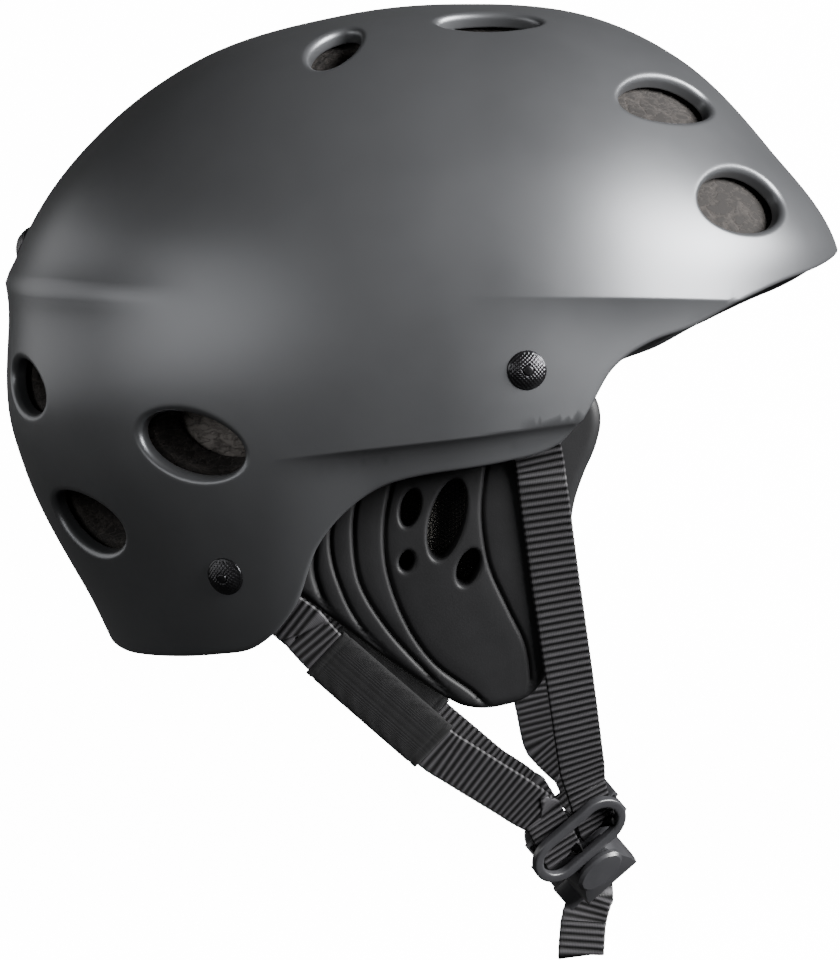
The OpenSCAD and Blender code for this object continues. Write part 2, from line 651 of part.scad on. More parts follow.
outer_shell();
liner_crown();
liner_front();
liner_left();
liner_right();
liner_rear_left();
liner_rear_right();
crown_pad();
front_pad();
rear_pad();
left_side_pad();
right_side_pad();
front_left_rivet();
front_right_rivet();
rear_left_rivet();
rear_right_rivet();
rear_centre_rivet();
front_left_washer();
front_right_washer();
rear_left_washer();
rear_right_washer();
rear_centre_washer();
front_left_strap_end();
front_right_strap_end();
rear_left_strap_end();
rear_right_strap_end();
front_left_strap();
front_right_strap();
rear_left_strap();
rear_right_strap();
left_sleeve();
right_sleeve();
left_ring();
right_ring();
buckle_socket();
buckle_plug();
plug_prong_front();
plug_prong_rear();
left_link();
chin_webbing();
left_ear_flap();
right_ear_flap();
left_flap_root();
right_flap_root();
left_flap_mesh();
right_flap_mesh();
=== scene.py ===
import bpy
import json
import math
import numpy as np
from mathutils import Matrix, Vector
from mathutils.geometry import delaunay_2d_cdt

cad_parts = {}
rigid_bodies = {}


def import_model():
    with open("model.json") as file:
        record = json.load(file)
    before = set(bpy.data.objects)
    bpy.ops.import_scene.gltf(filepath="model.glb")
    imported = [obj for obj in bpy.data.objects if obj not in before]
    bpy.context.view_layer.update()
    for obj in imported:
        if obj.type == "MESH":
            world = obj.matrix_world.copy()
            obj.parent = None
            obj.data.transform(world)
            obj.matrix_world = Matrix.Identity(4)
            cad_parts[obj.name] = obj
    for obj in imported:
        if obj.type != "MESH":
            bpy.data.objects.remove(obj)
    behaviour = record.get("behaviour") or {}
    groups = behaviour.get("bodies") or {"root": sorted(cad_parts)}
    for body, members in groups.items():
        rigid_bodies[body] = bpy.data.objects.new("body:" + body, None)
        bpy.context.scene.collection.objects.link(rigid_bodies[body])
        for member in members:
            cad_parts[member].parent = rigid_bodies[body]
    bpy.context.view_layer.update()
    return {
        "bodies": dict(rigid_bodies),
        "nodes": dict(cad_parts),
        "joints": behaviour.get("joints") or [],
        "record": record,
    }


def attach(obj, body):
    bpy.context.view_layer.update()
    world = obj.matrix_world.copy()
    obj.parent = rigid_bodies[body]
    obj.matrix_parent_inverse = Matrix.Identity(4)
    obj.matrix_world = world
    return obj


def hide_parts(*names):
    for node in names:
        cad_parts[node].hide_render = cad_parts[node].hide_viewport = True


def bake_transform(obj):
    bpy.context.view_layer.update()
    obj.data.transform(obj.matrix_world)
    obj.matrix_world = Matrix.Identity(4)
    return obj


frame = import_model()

np.random.seed(7)

# camera, light, floor

studio = {
    "distance": 1.25,        # camera to the middle plane, m
    "height": -0.061,        # camera height, m
    "frameHeight": 0.3308,   # height of the middle plane in view, m
    "floor": -0.30,
    "sweepGlow": 14.0,
    "airLight": 0.05,
    "lamps": {
        "frontLamp": {"place": (1.8, -1.2, 0.85), "target": (0.03, 0, 0),
                      "width": 1.4, "height": 1.2, "power": 225.0},
        "browLamp": {"place": (1.9, -0.35, 0.7), "target": (0.08, 0, 0.03),
                     "width": 1.0, "height": 0.7, "power": 60.0},
        "sideLamp": {"place": (-1.55, -1.25, 0.25), "target": (-0.05, 0, 0),
                     "width": 1.6, "height": 0.7, "power": 11.0},
        "backLamp": {"place": (-1.5, 0.35, 0.3), "target": (-0.08, 0, 0.0),
                     "width": 1.4, "height": 0.9, "power": 6.0},
    },
}


def makeCamera():
    data = bpy.data.cameras.new("productCamera")
    data.sensor_width = 36.0
    data.lens = 36.0 * studio["distance"] / studio["frameHeight"]
    data.clip_start = 0.05
    cam = bpy.data.objects.new("productCamera", data)
    cam.location = (0.0, -studio["distance"], studio["height"])
    cam.rotation_euler = (math.radians(90), 0, 0)
    bpy.context.scene.collection.objects.link(cam)
    bpy.context.scene.camera = cam


def softLight(name, place, target, width, height, power, tint=(1, 1, 1)):
    data = bpy.data.lights.new(name, "AREA")
    data.shape = "RECTANGLE"
    data.size, data.size_y, data.energy, data.color = width, height, power, tint
    lamp = bpy.data.objects.new(name, data)
    lamp.location = place
    lamp.rotation_euler = (Vector(target) - Vector(place)).to_track_quat("-Z", "Y").to_euler()
    bpy.context.scene.collection.objects.link(lamp)


class Shade:
    # wraps one node socket so that shader maths can be written as expressions
    def __init__(self, tree, socket):
        self.tree, self.socket = tree, socket

    def math(self, kind, other=None, swap=False):
        node = self.tree.nodes.new("ShaderNodeMath")
        node.operation = kind
        pair = [self, other] if not swap else [other, self]
        for slot, value in zip(node.inputs, pair):
            if isinstance(value, Shade):
                self.tree.links.new(value.socket, slot)
            elif value is not None:
                slot.default_value = value
        return Shade(self.tree, node.outputs[0])

    def __add__(self, other): return self.math("ADD", other)
    def __radd__(self, other): return self.math("ADD", other, True)
    def __sub__(self, other): return self.math("SUBTRACT", other)
    def __rsub__(self, other): return self.math("SUBTRACT", other, True)
    def __mul__(self, other): return self.math("MULTIPLY", other)
    def __rmul__(self, other): return self.math("MULTIPLY", other, True)
    def sin(self): return self.math("SINE")
    def abs(self): return self.math("ABSOLUTE")
    def least(self, other): return self.math("MINIMUM", other)


class Finish:
    # one procedural material; node() adds any node from its type, settings and sockets
    def __init__(self, name):
        self.material = bpy.data.materials.new(name)
        self.material.use_nodes = True
        self.tree = self.material.node_tree
        self.shader = self.tree.nodes["Principled BSDF"]

    def node(self, kind, settings=None, **sockets):
        made = self.tree.nodes.new(kind)
        for key, value in (settings or {}).items():
            setattr(made, key, value)
        for key, value in sockets.items():
            self.put(made.inputs[key.replace("_", " ")], value)
        return made

    def put(self, slot, value):
        if isinstance(value, Shade):
            self.tree.links.new(value.socket, slot)
        elif isinstance(value, bpy.types.NodeSocket):
            self.tree.links.new(value, slot)
        else:
            slot.default_value = value

    def place(self):
        return self.node("ShaderNodeTexCoord").outputs["Object"]

    def clothMap(self):
        # distance across and along the band, m, from the piece's own map
        split = self.node("ShaderNodeSeparateXYZ")
        self.put(split.inputs[0], self.node("ShaderNodeUVMap", {"uv_map": "cloth"}).outputs[0])
        return Shade(self.tree, split.outputs[0]), Shade(self.tree, split.outputs[1])

    def noise(self, scale, detail=2.0, rough=0.5, where=None):
        made = self.node("ShaderNodeTexNoise", Scale=scale, Detail=detail, Roughness=rough)
        self.put(made.inputs["Vector"], where if where is not None else self.place())
        return Shade(self.tree, made.outputs["Fac"])

    def mix(self, mask, first, second):
        made = self.node("ShaderNodeMix", {"data_type": "RGBA"})
        self.put(made.inputs["Factor"], mask)
        for slot, value in ((made.inputs[6], first), (made.inputs[7], second)):
            self.put(slot, value if not isinstance(value, tuple) else (*value, 1))
        return made.outputs[2]

    def bump(self, height, strength, distance):
        made = self.node("ShaderNodeBump", Strength=strength, Distance=distance)
        self.put(made.inputs["Height"], height)
        self.put(self.shader.inputs["Normal"], made.outputs["Normal"])

    def set(self, **sockets):
        for key, value in sockets.items():
            self.put(self.shader.inputs[key.replace("_", " ")],
                     (*value, 1) if isinstance(value, tuple) and len(value) == 3 else value)
        return self.material


def makeStudio():
    # sweep: floor, quarter-round, wall, as one profile carried along x
    turn = np.linspace(0, math.pi / 2, 24)
    radius, back, low = 0.8, 2.2, studio["floor"]
    yy = np.concatenate([[-3.0], back - radius + radius * np.sin(turn), [back]])
    zz = np.concatenate([[low], low + radius - radius * np.cos(turn), [4.0]])
    xx = np.array([-5.0, 5.0])
    grid = np.stack([np.broadcast_to(xx[None], (len(yy), 2)), np.broadcast_to(yy[:, None], (len(yy), 2)),
                     np.broadcast_to(zz[:, None], (len(yy), 2))], -1)
    sweep = gridPiece("studioSweep", grid / mm)
    finish = Finish("paleFloor")
    sweep.data.materials.append(finish.set(Base_Color=(0.93, 0.93, 0.93), Roughness=0.9,
                                           Emission_Color=(1, 1, 1), Emission_Strength=studio["sweepGlow"]))
    sweep.visible_diffuse = sweep.visible_glossy = False   # it lights nothing, like a cut-out ground
    world = bpy.data.worlds.new("studioAir")
    world.use_nodes = True
    world.node_tree.nodes["Background"].inputs["Color"].default_value = (1, 1, 1, 1)
    world.node_tree.nodes["Background"].inputs["Strength"].default_value = studio["airLight"]
    bpy.context.scene.world = world
    for name, lamp in studio["lamps"].items():
        softLight(name, **lamp)


# meshes from whole arrays

mm = 0.001


def addPiece(name, points, faces, smooth=True, uv=None):
    # points in millimetres, faces as one array or a list of arrays of equal-length rows
    mesh = bpy.data.meshes.new(name)
    groups = [faces] if isinstance(faces, np.ndarray) else faces
    mesh.vertices.add(len(points))
    mesh.vertices.foreach_set("co", (np.asarray(points, np.float64) * mm).astype(np.float32).ravel())
    loops = np.concatenate([g.ravel() for g in groups]).astype(np.int32)
    sizes = np.concatenate([np.full(len(g), g.shape[1]) for g in groups]).astype(np.int32)
    mesh.loops.add(len(loops))
    mesh.loops.foreach_set("vertex_index", loops)
    mesh.polygons.add(len(sizes))
    mesh.polygons.foreach_set("loop_start", np.concatenate([[0], np.cumsum(sizes)[:-1]]).astype(np.int32))
    mesh.polygons.foreach_set("loop_total", sizes)
    mesh.polygons.foreach_set("use_smooth", np.full(len(sizes), smooth))
    if uv is not None:
        layer = mesh.uv_layers.new(name="cloth")
        layer.data.foreach_set("uv", np.asarray(uv)[loops].astype(np.float32).ravel())
    mesh.update()
    mesh.validate()
    piece = bpy.data.objects.new(name, mesh)
    bpy.context.scene.collection.objects.link(piece)
    return piece


def gridFaces(rows, columns, wrapRows=False, wrapColumns=False, flip=False):
    # quads of a rows x columns grid of points; each quad joins a point to the next row and column
    r = np.arange(rows if wrapRows else rows - 1)
    c = np.arange(columns if wrapColumns else columns - 1)
    i, j = np.meshgrid(r, c, indexing="ij")
    i2, j2 = (i + 1) % rows, (j + 1) % columns
    quads = np.stack([i * columns + j, i * columns + j2, i2 * columns + j2, i2 * columns + j], -1)
    quads = quads.reshape(-1, 4)
    return quads[:, ::-1] if flip else quads


def gridMap(across, along, rows, columns):
    # one flat place per grid point, from its place across and its place along
    shape = (rows, columns)
    return np.stack([np.broadcast_to(across, shape), np.broadcast_to(along, shape)], -1).reshape(-1, 2)


def gridPiece(name, grid, flip=False, **options):
    rows, columns = grid.shape[:2]
    return addPiece(name, grid.reshape(-1, 3), gridFaces(rows, columns, flip=flip), **options)


def curve(points, x):
    # smooth line through given points: cubic between neighbours, slope from the two beside each
    p = np.asarray(points, float)
    xs, ys = p[:, 0], p[:, 1]
    m = np.gradient(ys, xs)
    m[1:-1] = (ys[2:] - ys[:-2]) / (xs[2:] - xs[:-2])
    i = np.clip(np.searchsorted(xs, x, side="right") - 1, 0, len(xs) - 2)
    h = xs[i + 1] - xs[i]
    t = (x - xs[i]) / h
    return (ys[i] * (2 * t**3 - 3 * t**2 + 1) + h * m[i] * (t**3 - 2 * t**2 + t)
            + ys[i + 1] * (3 * t**2 - 2 * t**3) + h * m[i + 1] * (t**3 - t**2))


def ease(v):
    v = np.clip(v, 0, 1)
    return v * v * (3 - 2 * v)


def unit(v):
    return v / np.maximum(np.linalg.norm(v, axis=-1, keepdims=True), 1e-12)


# the shell's shape

shellShape = {
    "eye": np.array([20.0, 0.0, -5.0]),
    "wall": 3.0,
    "blendPower": 2.2,
    "ridge": 3.6,
    "beltStep": 5.5,
    "beltLevel": -3.5,
    "earStep": 4.5,
    "earLevel": (-49.6, 0.1123),   # height of the ear band's crease: first + second * x
    "outline": [(128, -62), (143, -3), (142.5, 19), (120, 51), (92, 80), (64, 95), (20, 101.3),
                (-32, 96), (-80, 80), (-107, 60), (-134, 24), (-140, -5), (-141, -37),
                (-135.5, -57), (-114, -99), (-99, -128)],
    "sideLine": [(88, -132), (98, -96), (108, -50), (110, 0), (96, 47), (58, 89), (0, 101.3)],
    "rimLine": [(-31, 5.3), (0, 10.5), (31, 5.3), (45, 1), (54, -3.5), (62, -6.6), (68, -11),
                (72, -18), (76, -23.5), (86, -26.3), (106, -28.6), (113, -31.2), (119, -35.5),
                (124, -42), (132, -45.4), (140, -45.3), (160, -43.2), (180, -41.2), (200, -43.2)],
    # angle round, angle up, half length, half height, turn, open through the liner
    "vents": [(127, 47, 12.5, 7.8, -80, True), (87, 60, 17, 8, -4, True),
              (47.5, 37, 21, 10, -6, False), (41.5, 17, 20, 11.5, -8, False),
              (136, -19, 19, 10.2, 14, True), (158, -26.5, 19.5, 10.5, 14, True),
              (164, -9, 15, 8.6, 20, True)],
    "ventRound": 2.4,
    "ventLip": 5.2,
}
eye = shellShape["eye"]


def polarLine(points, middle):
    p = np.asarray(points, float) - middle
    turn = np.degrees(np.arctan2(p[:, 1], p[:, 0]))
    turn = np.where(turn < -90, turn + 360, turn)
    line = np.stack([turn, np.hypot(p[:, 0], p[:, 1])], -1)
    return line[np.argsort(turn)]


outlinePolar = polarLine(shellShape["outline"], eye[[0, 2]])
sidePolar = polarLine(shellShape["sideLine"], np.array([0, eye[2]]))
sidePolar = np.concatenate([sidePolar, [[180 - sidePolar[-2, 0], sidePolar[-2, 1]]]])


def rimAngle(a):
    a = np.mod(a, 360)
    return curve(shellShape["rimLine"], np.where(a > 180, 360 - a, a))


def smoothRadius(a, e):
    # side and middle profiles joined: 1/r^n = |cos a / rMiddle|^n + |sin a / rSide|^n,
    # n falling to 2 at the crown so that every direction meets in one point
    c, s = np.cos(np.radians(a)), np.sin(np.radians(a))
    middle = curve(outlinePolar, np.where(c >= 0, e, 180 - e))
    side = curve(sidePolar, e)
    n = 2 + (shellShape["blendPower"] - 2) * (1 - ease((e - 25) / 60))
    return (np.abs(c / middle)**n + np.abs(s / side)**n)**(-1 / n)


def earCrease(x):
    start, rise = shellShape["earLevel"]
    return start + rise * x


def creases(a, e, r):
    # back ridge (a rounded tent), front belt step and ear band step, each easing in round the head
    c, s = np.cos(np.radians(a)), np.sin(np.radians(a))
    x = eye[0] + r * np.cos(np.radians(e)) * c
    z = eye[2] + r * np.sin(np.radians(e))
    q = z - (9.5 - 16 * np.abs(s)**0.75)
    k = np.where(q > 0, q / 7, q / 8)
    return (shellShape["ridge"] * ease((-c - 0.68) / 0.25) * np.exp(-(np.sqrt(k * k + 0.03) - 0.17))
            - shellShape["beltStep"] * ease((c + 0.12) / 0.62)
            * (1 - np.exp(-np.maximum(shellShape["beltLevel"] - z, 0) / 12))
            - shellShape["earStep"] * ease((x + 50) / 35)
            * (1 - np.exp(-np.maximum(earCrease(x) - z, 0) / 4)))


def ray(a, e):
    a, e = np.radians(a), np.radians(e)
    return np.stack([np.cos(e) * np.cos(a), np.cos(e) * np.sin(a), np.sin(e)], -1)


def shellPoint(a, e, depth=0.0, plain=False):
    a, e = np.asarray(a, float), np.asarray(e, float)
    r = smoothRadius(a, e)
    if not plain:
        r = r + creases(a, e, r)
    return eye + (r - depth)[..., None] * ray(a, e)


def shellNormal(a, e, plain=False):
    # cross product of short steps round and up the surface; the pole uses a fixed frame
    a, e = np.asarray(a, float), np.asarray(e, float)
    d = unit(ray(a, e))
    h = unit(np.cross([0.0, 0.0, 1.0], d) + np.array([1e-9, 0, 0]))
    v = np.cross(d, h)
    step = 0.004

    def probe(w):
        w = unit(w)
        aa = np.degrees(np.arctan2(w[..., 1], w[..., 0]))
        ee = np.degrees(np.arcsin(np.clip(w[..., 2], -1, 1)))
        return shellPoint(aa, ee, 0.0, plain)
    n = np.cross(probe(d + h * step) - probe(d - h * step), probe(d + v * step) - probe(d - v * step))
    n = unit(n)
    return n * np.sign(np.sum(n * d, -1, keepdims=True))


def ventFrames():
    # middle, level tangent, up tangent, normal and sizes of every vent, both sides
    frames = []
    for a, e, half, tall, turn, through in shellShape["vents"]:
        for side in (1, -1):
            p = shellPoint(a * side, e)
            n = shellNormal(a * side, e)
            h = unit(np.cross([0.0, 0.0, 1.0], n)) * side
            v = np.cross(n, h) * side
            t = math.radians(turn)
            frames.append((p, h * math.cos(t) + v * math.sin(t), v * math.cos(t) - h * math.sin(t),
                           n, half, tall, through))
    return frames


vents = ventFrames()


def ventDistance(a, e, frames, grow=0.0):
    # distance from the nearest vent's edge, measured out from its middle in its tangent plane
    d = ray(a, e)
    best = np.full(d.shape[:-1], 1e3)
    for p, h, v, n, half, tall, through in frames:
        down = d @ n
        reach = ((p - eye) @ n) / np.where(down > 0.2, down, 1)
        q = d * reach[..., None] + eye - p
        x, y = q @ h, q @ v
        level = np.sqrt((x / (half + grow))**2 + (y / (tall + grow))**2) + 1e-9
        gap = (level - 1) * np.hypot(x, y) / level
        best = np.where(down > 0.2, np.minimum(best, gap), best)
    return best


def ventRing(frame, gap, count, grow=0.0):
    p, h, v, n, half, tall, through = frame
    t = np.linspace(0, 2 * math.pi, count, endpoint=False)
    x, y = (half + grow) * np.cos(t), (tall + grow) * np.sin(t)
    reach = 1 + gap / np.hypot(x, y)
    q = p + (x * reach)[:, None] * h + (y * reach)[:, None] * v - eye
    return np.degrees(np.arctan2(q[:, 1], q[:, 0])), np.degrees(np.arcsin(q[:, 2] / np.linalg.norm(q, axis=1)))


def creaseHeights(a, e):
    # height above the belt crease and above the ear band's crease, and where round the head each runs
    r = smoothRadius(a, e) + creases(a, e, smoothRadius(a, e))
    x = eye[0] + r * np.cos(np.radians(e)) * np.cos(np.radians(a))
    z = eye[2] + r * np.sin(np.radians(e))
    return (z - shellShape["beltLevel"], 46.0, 101.0), (z - earCrease(x), 66.0, 124.0)


def flatPolar(a, rho):
    return np.stack([rho * np.cos(np.radians(a)), rho * np.sin(np.radians(a))], -1)


def triangleNet(flat, links, inside, tolerance):
    # triangles between flat points that keep the linked edges, kept where inside(middle) holds and
    # all turned the same way: the cross product of two sides is positive
    net = delaunay_2d_cdt([Vector(p) for p in flat.tolist()], np.concatenate(links).tolist(), [], 0, tolerance)
    flat, tris = np.array([tuple(p) for p in net[0]]), np.array(net[2], int)
    tris = tris[inside(flat[tris].mean(1))]
    used, tris = np.unique(tris, return_inverse=True)
    tris, flat = tris.reshape(-1, 3), flat[used]
    p, q = flat[tris[:, 1]] - flat[tris[:, 0]], flat[tris[:, 2]] - flat[tris[:, 0]]
    wrong = p[:, 0] * q[:, 1] - p[:, 1] * q[:, 0] < 0
    tris[wrong] = tris[wrong][:, ::-1]
    return flat, tris


creaseOffsets = (1.3, 0.55, 0.15, -0.2, -0.6, -1.2, -2.1)


def creaseRows():
    # level rows of points on both sides of each crease, each found by walking the angle to its height
    rows = []
    for which in (0, 1):
        for off in creaseOffsets:
            _, start, stop = creaseHeights(np.zeros(1), np.zeros(1))[which]
            a = np.arange(start, stop, 0.55)
            e = np.full(len(a), (-0.5, -24.0)[which])
            for _ in range(12):
                e = e - np.degrees((creaseHeights(a, e)[which][0] - off) / 112)
            rows += [(a, e), (-a, e)]
    return rows


def awayFromCreases(a, e, gap):
    # true where a point lies further than gap from the band that the crease rows fill
    clear = np.ones(a.shape, bool)
    b = np.abs(np.mod(a + 180, 360) - 180)
    for height, start, stop in creaseHeights(a, e):
        inside = (height > creaseOffsets[-1] - gap) & (height < creaseOffsets[0] + gap)
        clear &= ~(inside & (b > start - 0.5) & (b < stop + 0.5))
    return clear


def bowlNet(edge, frames, spacing, gaps, edgeGaps, grow=0.0, count=96, rows=()):
    # net of triangles over the bowl: rings of points from crown to edge, finer rings round each vent
    length = 215.0
    levels = list(np.arange(spacing, length - edgeGaps[-1] - spacing * 0.5, spacing) / length)
    levels += [1 - g / length for g in edgeGaps[::-1]]
    flatPoints, links, total = [np.array([[0.0, 0.0]])], [], 1
    edgeCount = 540 if spacing < 3 else 360
    for k, level in enumerate(levels):
        near = level > 1 - (edgeGaps[-1] + spacing) / length
        about = 2 * math.pi * 118 * math.sin(math.radians(min(level * 130, 95)))
        n = edgeCount if near else int(max(6, about / spacing))
        a = (np.arange(n) + 0.5 * (k % 2) * (not near)) * 360.0 / n
        rho = level * (90 - edge(a))
        keep = ventDistance(a, 90 - rho, frames, grow) > gaps[-1] + spacing * 0.55
        tight = level > 1 - (edgeGaps[-1] + 0.01) / length
        if len(rows) and not tight:
            keep &= awayFromCreases(a, 90 - rho, spacing * 0.6)
        a, rho = a[keep], rho[keep]
        flatPoints.append(flatPolar(a, rho))
        if tight:
            ids = np.arange(total, total + len(a))
            links.append(np.stack([ids, np.roll(ids, -1)], -1))
        total += len(a)
    for a, e in rows:
        keep = (e > edge(a) + 0.5 * edgeGaps[-1] + 0.3) & (ventDistance(a, e, frames, grow) > gaps[-1] + 0.8)
        ids = total + np.cumsum(keep) - 1
        joined = keep[:-1] & keep[1:]
        links.append(np.stack([ids[:-1], ids[1:]], -1)[joined])
        rho = 90 - e[keep]
        flatPoints.append(flatPolar(a[keep], rho))
        total += int(keep.sum())
    for frame in frames:
        for k, gap in enumerate(gaps):
            a, e = ventRing(frame, gap, count, grow)
            rho = 90 - e
            flatPoints.append(flatPolar(a, rho))
            ids = np.arange(total, total + count)
            links.append(np.stack([ids, np.roll(ids, -1)], -1))
            total += count
    flat = np.concatenate(flatPoints)

    def inside(middle):
        a, rho = np.degrees(np.arctan2(middle[:, 1], middle[:, 0])), np.hypot(middle[:, 0], middle[:, 1])
        return (rho < 90 - edge(a)) & (ventDistance(a, 90 - rho, frames, grow) > 0)

    flat, tris = triangleNet(flat, links, inside, 1e-6)
    a = np.degrees(np.arctan2(flat[:, 1], flat[:, 0]))
    return a, 90 - np.hypot(flat[:, 0], flat[:, 1]), tris


def openEdges(tris):
    # directed edges used by one triangle only
    edges = np.concatenate([tris[:, [0, 1]], tris[:, [1, 2]], tris[:, [2, 0]]])
    key = np.sort(edges, 1)
    _, where, times = np.unique(key, axis=0, return_index=True, return_counts=True)
    return edges[where[times == 1]]


def closedSheet(name, outer, inner, tris, between, **options):
    # two sheets of the same net joined along open edges through the in-between layers of points
    n = len(outer)
    edges = openEdges(tris)
    border = np.unique(edges)
    local = np.full(n, -1)
    local[border] = np.arange(len(border))
    layers = [outer[border]] + [b[border] for b in between] + [inner[border]]
    points = [outer, inner]
    faces = []
    ids = [border]
    start = 2 * n
    for layer in layers[1:-1]:
        points.append(layer)
        ids.append(start + np.arange(len(border)))
        start += len(border)
    ids.append(border + n)
    i, j = local[edges[:, 0]], local[edges[:, 1]]
    for top, low in zip(ids[:-1], ids[1:]):
        faces.append(np.stack([top[j], top[i], low[i], low[j]], -1))
    both = np.concatenate([tris, tris[:, ::-1] + n])
    return addPiece(name, np.concatenate(points), [both, np.concatenate(faces)], **options)


def roundOver(d, r):
    # depth of a quarter-round of radius r at distance d from the edge
    k = np.clip(r - d, 0, r)
    return r - np.sqrt(np.maximum(r * r - k * k, 0))


def makeShell():
    spacing = 2.1
    gaps = [0, 0.05, 0.2, 0.5, 0.9, 1.4, 1.9, 2.4, 3.1, 4.2]
    a, e, tris = bowlNet(rimAngle, vents, spacing, gaps, [0, 0.15, 0.5, 1.0, 1.9], rows=creaseRows())
    fromVent = np.maximum(ventDistance(a, e, vents), 0)
    steep = (rimAngle(a + 0.5) - rimAngle(a - 0.5)) / np.cos(np.radians(e))
    fromRim = np.maximum((e - rimAngle(a)), 0) * 2.0 / np.sqrt(1 + steep**2)
    n = shellNormal(a, e)
    base = shellPoint(a, e)
    wall = shellShape["wall"]
    topDepth = roundOver(fromVent, shellShape["ventRound"]) + roundOver(fromRim, 0.9)
    lip = shellShape["ventLip"]
    lowDepth = (wall + (lip - wall) * (1 - ease((fromVent - 0.9) / 2.4))
                - roundOver(fromRim, 0.6) - roundOver(fromVent, 0.5))
    vented = fromVent < 0.5
    first = np.where(vented, shellShape["ventRound"] + 1.0, 1.2)
    second = np.where(vented, lip - 0.8, 1.9)
    piece = closedSheet("shellSkin", base - n * topDepth[:, None], base - n * lowDepth[:, None], tris,
                        [base - n * first[:, None], base - n * second[:, None]])
    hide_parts("outer_shell")
    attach(piece, "helmet")
    print("shell", len(piece.data.polygons), "faces")
    return piece


shellLook = {"colour": (0.115, 0.118, 0.124), "paler": (0.130, 0.133, 0.139), "roughness": 0.39, "metal": 0.75}


def shellFinish():
    # satin moulded plastic: nearly even colour, fine pebble, faint larger mottle in the gloss
    f = Finish("satinShell")
    mottle = f.noise(28.0, 3.0, 0.6)
    grain = f.noise(2600.0, 2.0, 0.6)
    f.bump(grain, 0.10, 0.00012)
    return f.set(Base_Color=f.mix(mottle, shellLook["colour"], shellLook["paler"]),
                 Roughness=mottle * 0.08 + (shellLook["roughness"] - 0.04), Metallic=shellLook["metal"],
                 Specular_IOR_Level=0.5)


# liner and pads

linerShape = {"depth": 17.0, "browExtra": 15.0, "padThickness": 6.0, "padGap": 1.4,
              "holeInset": 1.0, "seams": (60, 112, 180, 248, 300)}


def linerInner(a, e):
    c = np.cos(np.radians(a))
    return linerShape["depth"] + linerShape["browExtra"] * ease((c - 0.2) / 0.7) * ease((60 - e) / 60)


def linerEdge(a):
    # just inside the shell's edge, lower under the brim, cut up over the ear flaps
    c = np.cos(np.radians(a))
    b = np.abs(np.mod(a + 180, 360) - 180)
    base = rimAngle(a) + 1.0 - 3.3 * ease((c - 0.8) / 0.2)
    ear = ease((b - 62) / 7) * ease((127 - b) / 7)
    return base * (1 - ear) + np.maximum(base, -15.5 - 0.06 * (b - 90)) * ear


def makeLiner():
    openVents = [v for v in vents if v[6]]
    spacing = 3.4
    gaps = [0, 0.4, 1.0, 1.8, 3.0, 5.0]
    a, e, tris = bowlNet(linerEdge, openVents, spacing, gaps, [0, 0.6, 1.5, 3.0], -linerShape["holeInset"], 64)
    hole = np.maximum(ventDistance(a, e, openVents, -linerShape["holeInset"]), 0)
    edge = np.maximum(e - linerEdge(a), 0) * 2.0
    c = np.cos(np.radians(a))
    outerDepth = (shellShape["wall"] + 1.7 + 10 * ease((c - 0.8) / 0.2) * ease((22 - e) / 12)
                  + roundOver(edge, 1.5)
                  + (shellShape["ventLip"] - shellShape["wall"] + 0.2) * (1 - ease((ventDistance(a, e, vents) - 2.6) / 2)))
    around = np.min([np.abs(np.mod(a - turn + 180, 360) - 180) for turn in linerShape["seams"]], axis=0)
    seam = np.minimum(around * 1.5 * np.cos(np.radians(e)) + 60 * (e > 68), np.abs(e - 68) * 1.5)
    inner = shellPoint(a, e, linerInner(a, e) - roundOver(edge, 2.2) - roundOver(hole, 2.0)
                       - 1.6 * np.exp(-(seam / 1.1)**2), True)
    n = shellNormal(a, e)
    outer = shellPoint(a, e) - n * outerDepth[:, None]
    between = [outer + (inner - outer) * t for t in (0.25, 0.5, 0.75)]
    piece = closedSheet("foamLiner", outer, inner, tris, between)
    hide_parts("liner_crown", "liner_front", "liner_left", "liner_right",
                "liner_rear_left", "liner_rear_right")
    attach(piece, "helmet")
    piece.data.materials.append(foamFinish("linerFoam", (0.008, 0.007, 0.0065), (0.046, 0.040, 0.036)))
    print("liner", len(piece.data.polygons), "faces")


def foamFinish(name, dark, light):
    # closed-cell foam with fine wrinkles: stretched noise folded into thin creases, plus a cell grain
    f = Finish(name)
    stretch = f.node("ShaderNodeMapping", {}, Scale=(1.0, 1.0, 2.6), Rotation=(0.5, 0.3, 0.4))
    f.put(stretch.inputs["Vector"], f.place())
    waves = f.noise(150.0, 4.0, 0.55, stretch.outputs[0])
    crease = 1.0 - ((waves - 0.5).abs() * 16.0).least(1.0)
    cross = f.noise(75.0, 3.0, 0.5)
    crossCrease = 1.0 - ((cross - 0.5).abs() * 26.0).least(1.0)
    cells = f.noise(2200.0, 2.0, 0.7)
    lines = crease * 0.7 + crossCrease * 0.6
    f.bump(cells * 0.25 - lines * 0.8, 0.7, 0.0007)
    # creases and cells take the second colour: paler for the liner, darker for the pad cloth, where that darkening
    # is painted shade
    return f.set(Base_Color=f.mix((lines * 0.55 + cells * 0.25).least(1.0), dark, light), Roughness=0.8,
                 Specular_IOR_Level=0.25, Sheen_Weight=0.03, Sheen_Roughness=0.6)


padPlans = {
    "crown_pad": {"rim": 70.0},
    "front_pad": {"box": (-38, 38, 12, 32), "channels": 3},
    "rear_pad": {"box": (134, 226, -34, -10), "channels": 5},
    "left_side_pad": {"box": (62, 118, 0, 24), "channels": 3},
    "right_side_pad": {"box": (-118, -62, 0, 24), "channels": 3},
}


def padCrown(u, v, channels):
    # pillow height 0..1: falls off at the sides as a superellipse and dips at each sewn channel
    body = np.clip(1 - np.abs(2 * u - 1)**5, 0, 1)**0.5 * np.clip(1 - np.abs(2 * v - 1)**4, 0, 1)**0.5
    seam = np.ones_like(u)
    for k in range(1, channels + 1):
        seam = seam * (1 - 0.55 * np.exp(-((u - k / (channels + 1)) / 0.018)**2))
    return body * seam


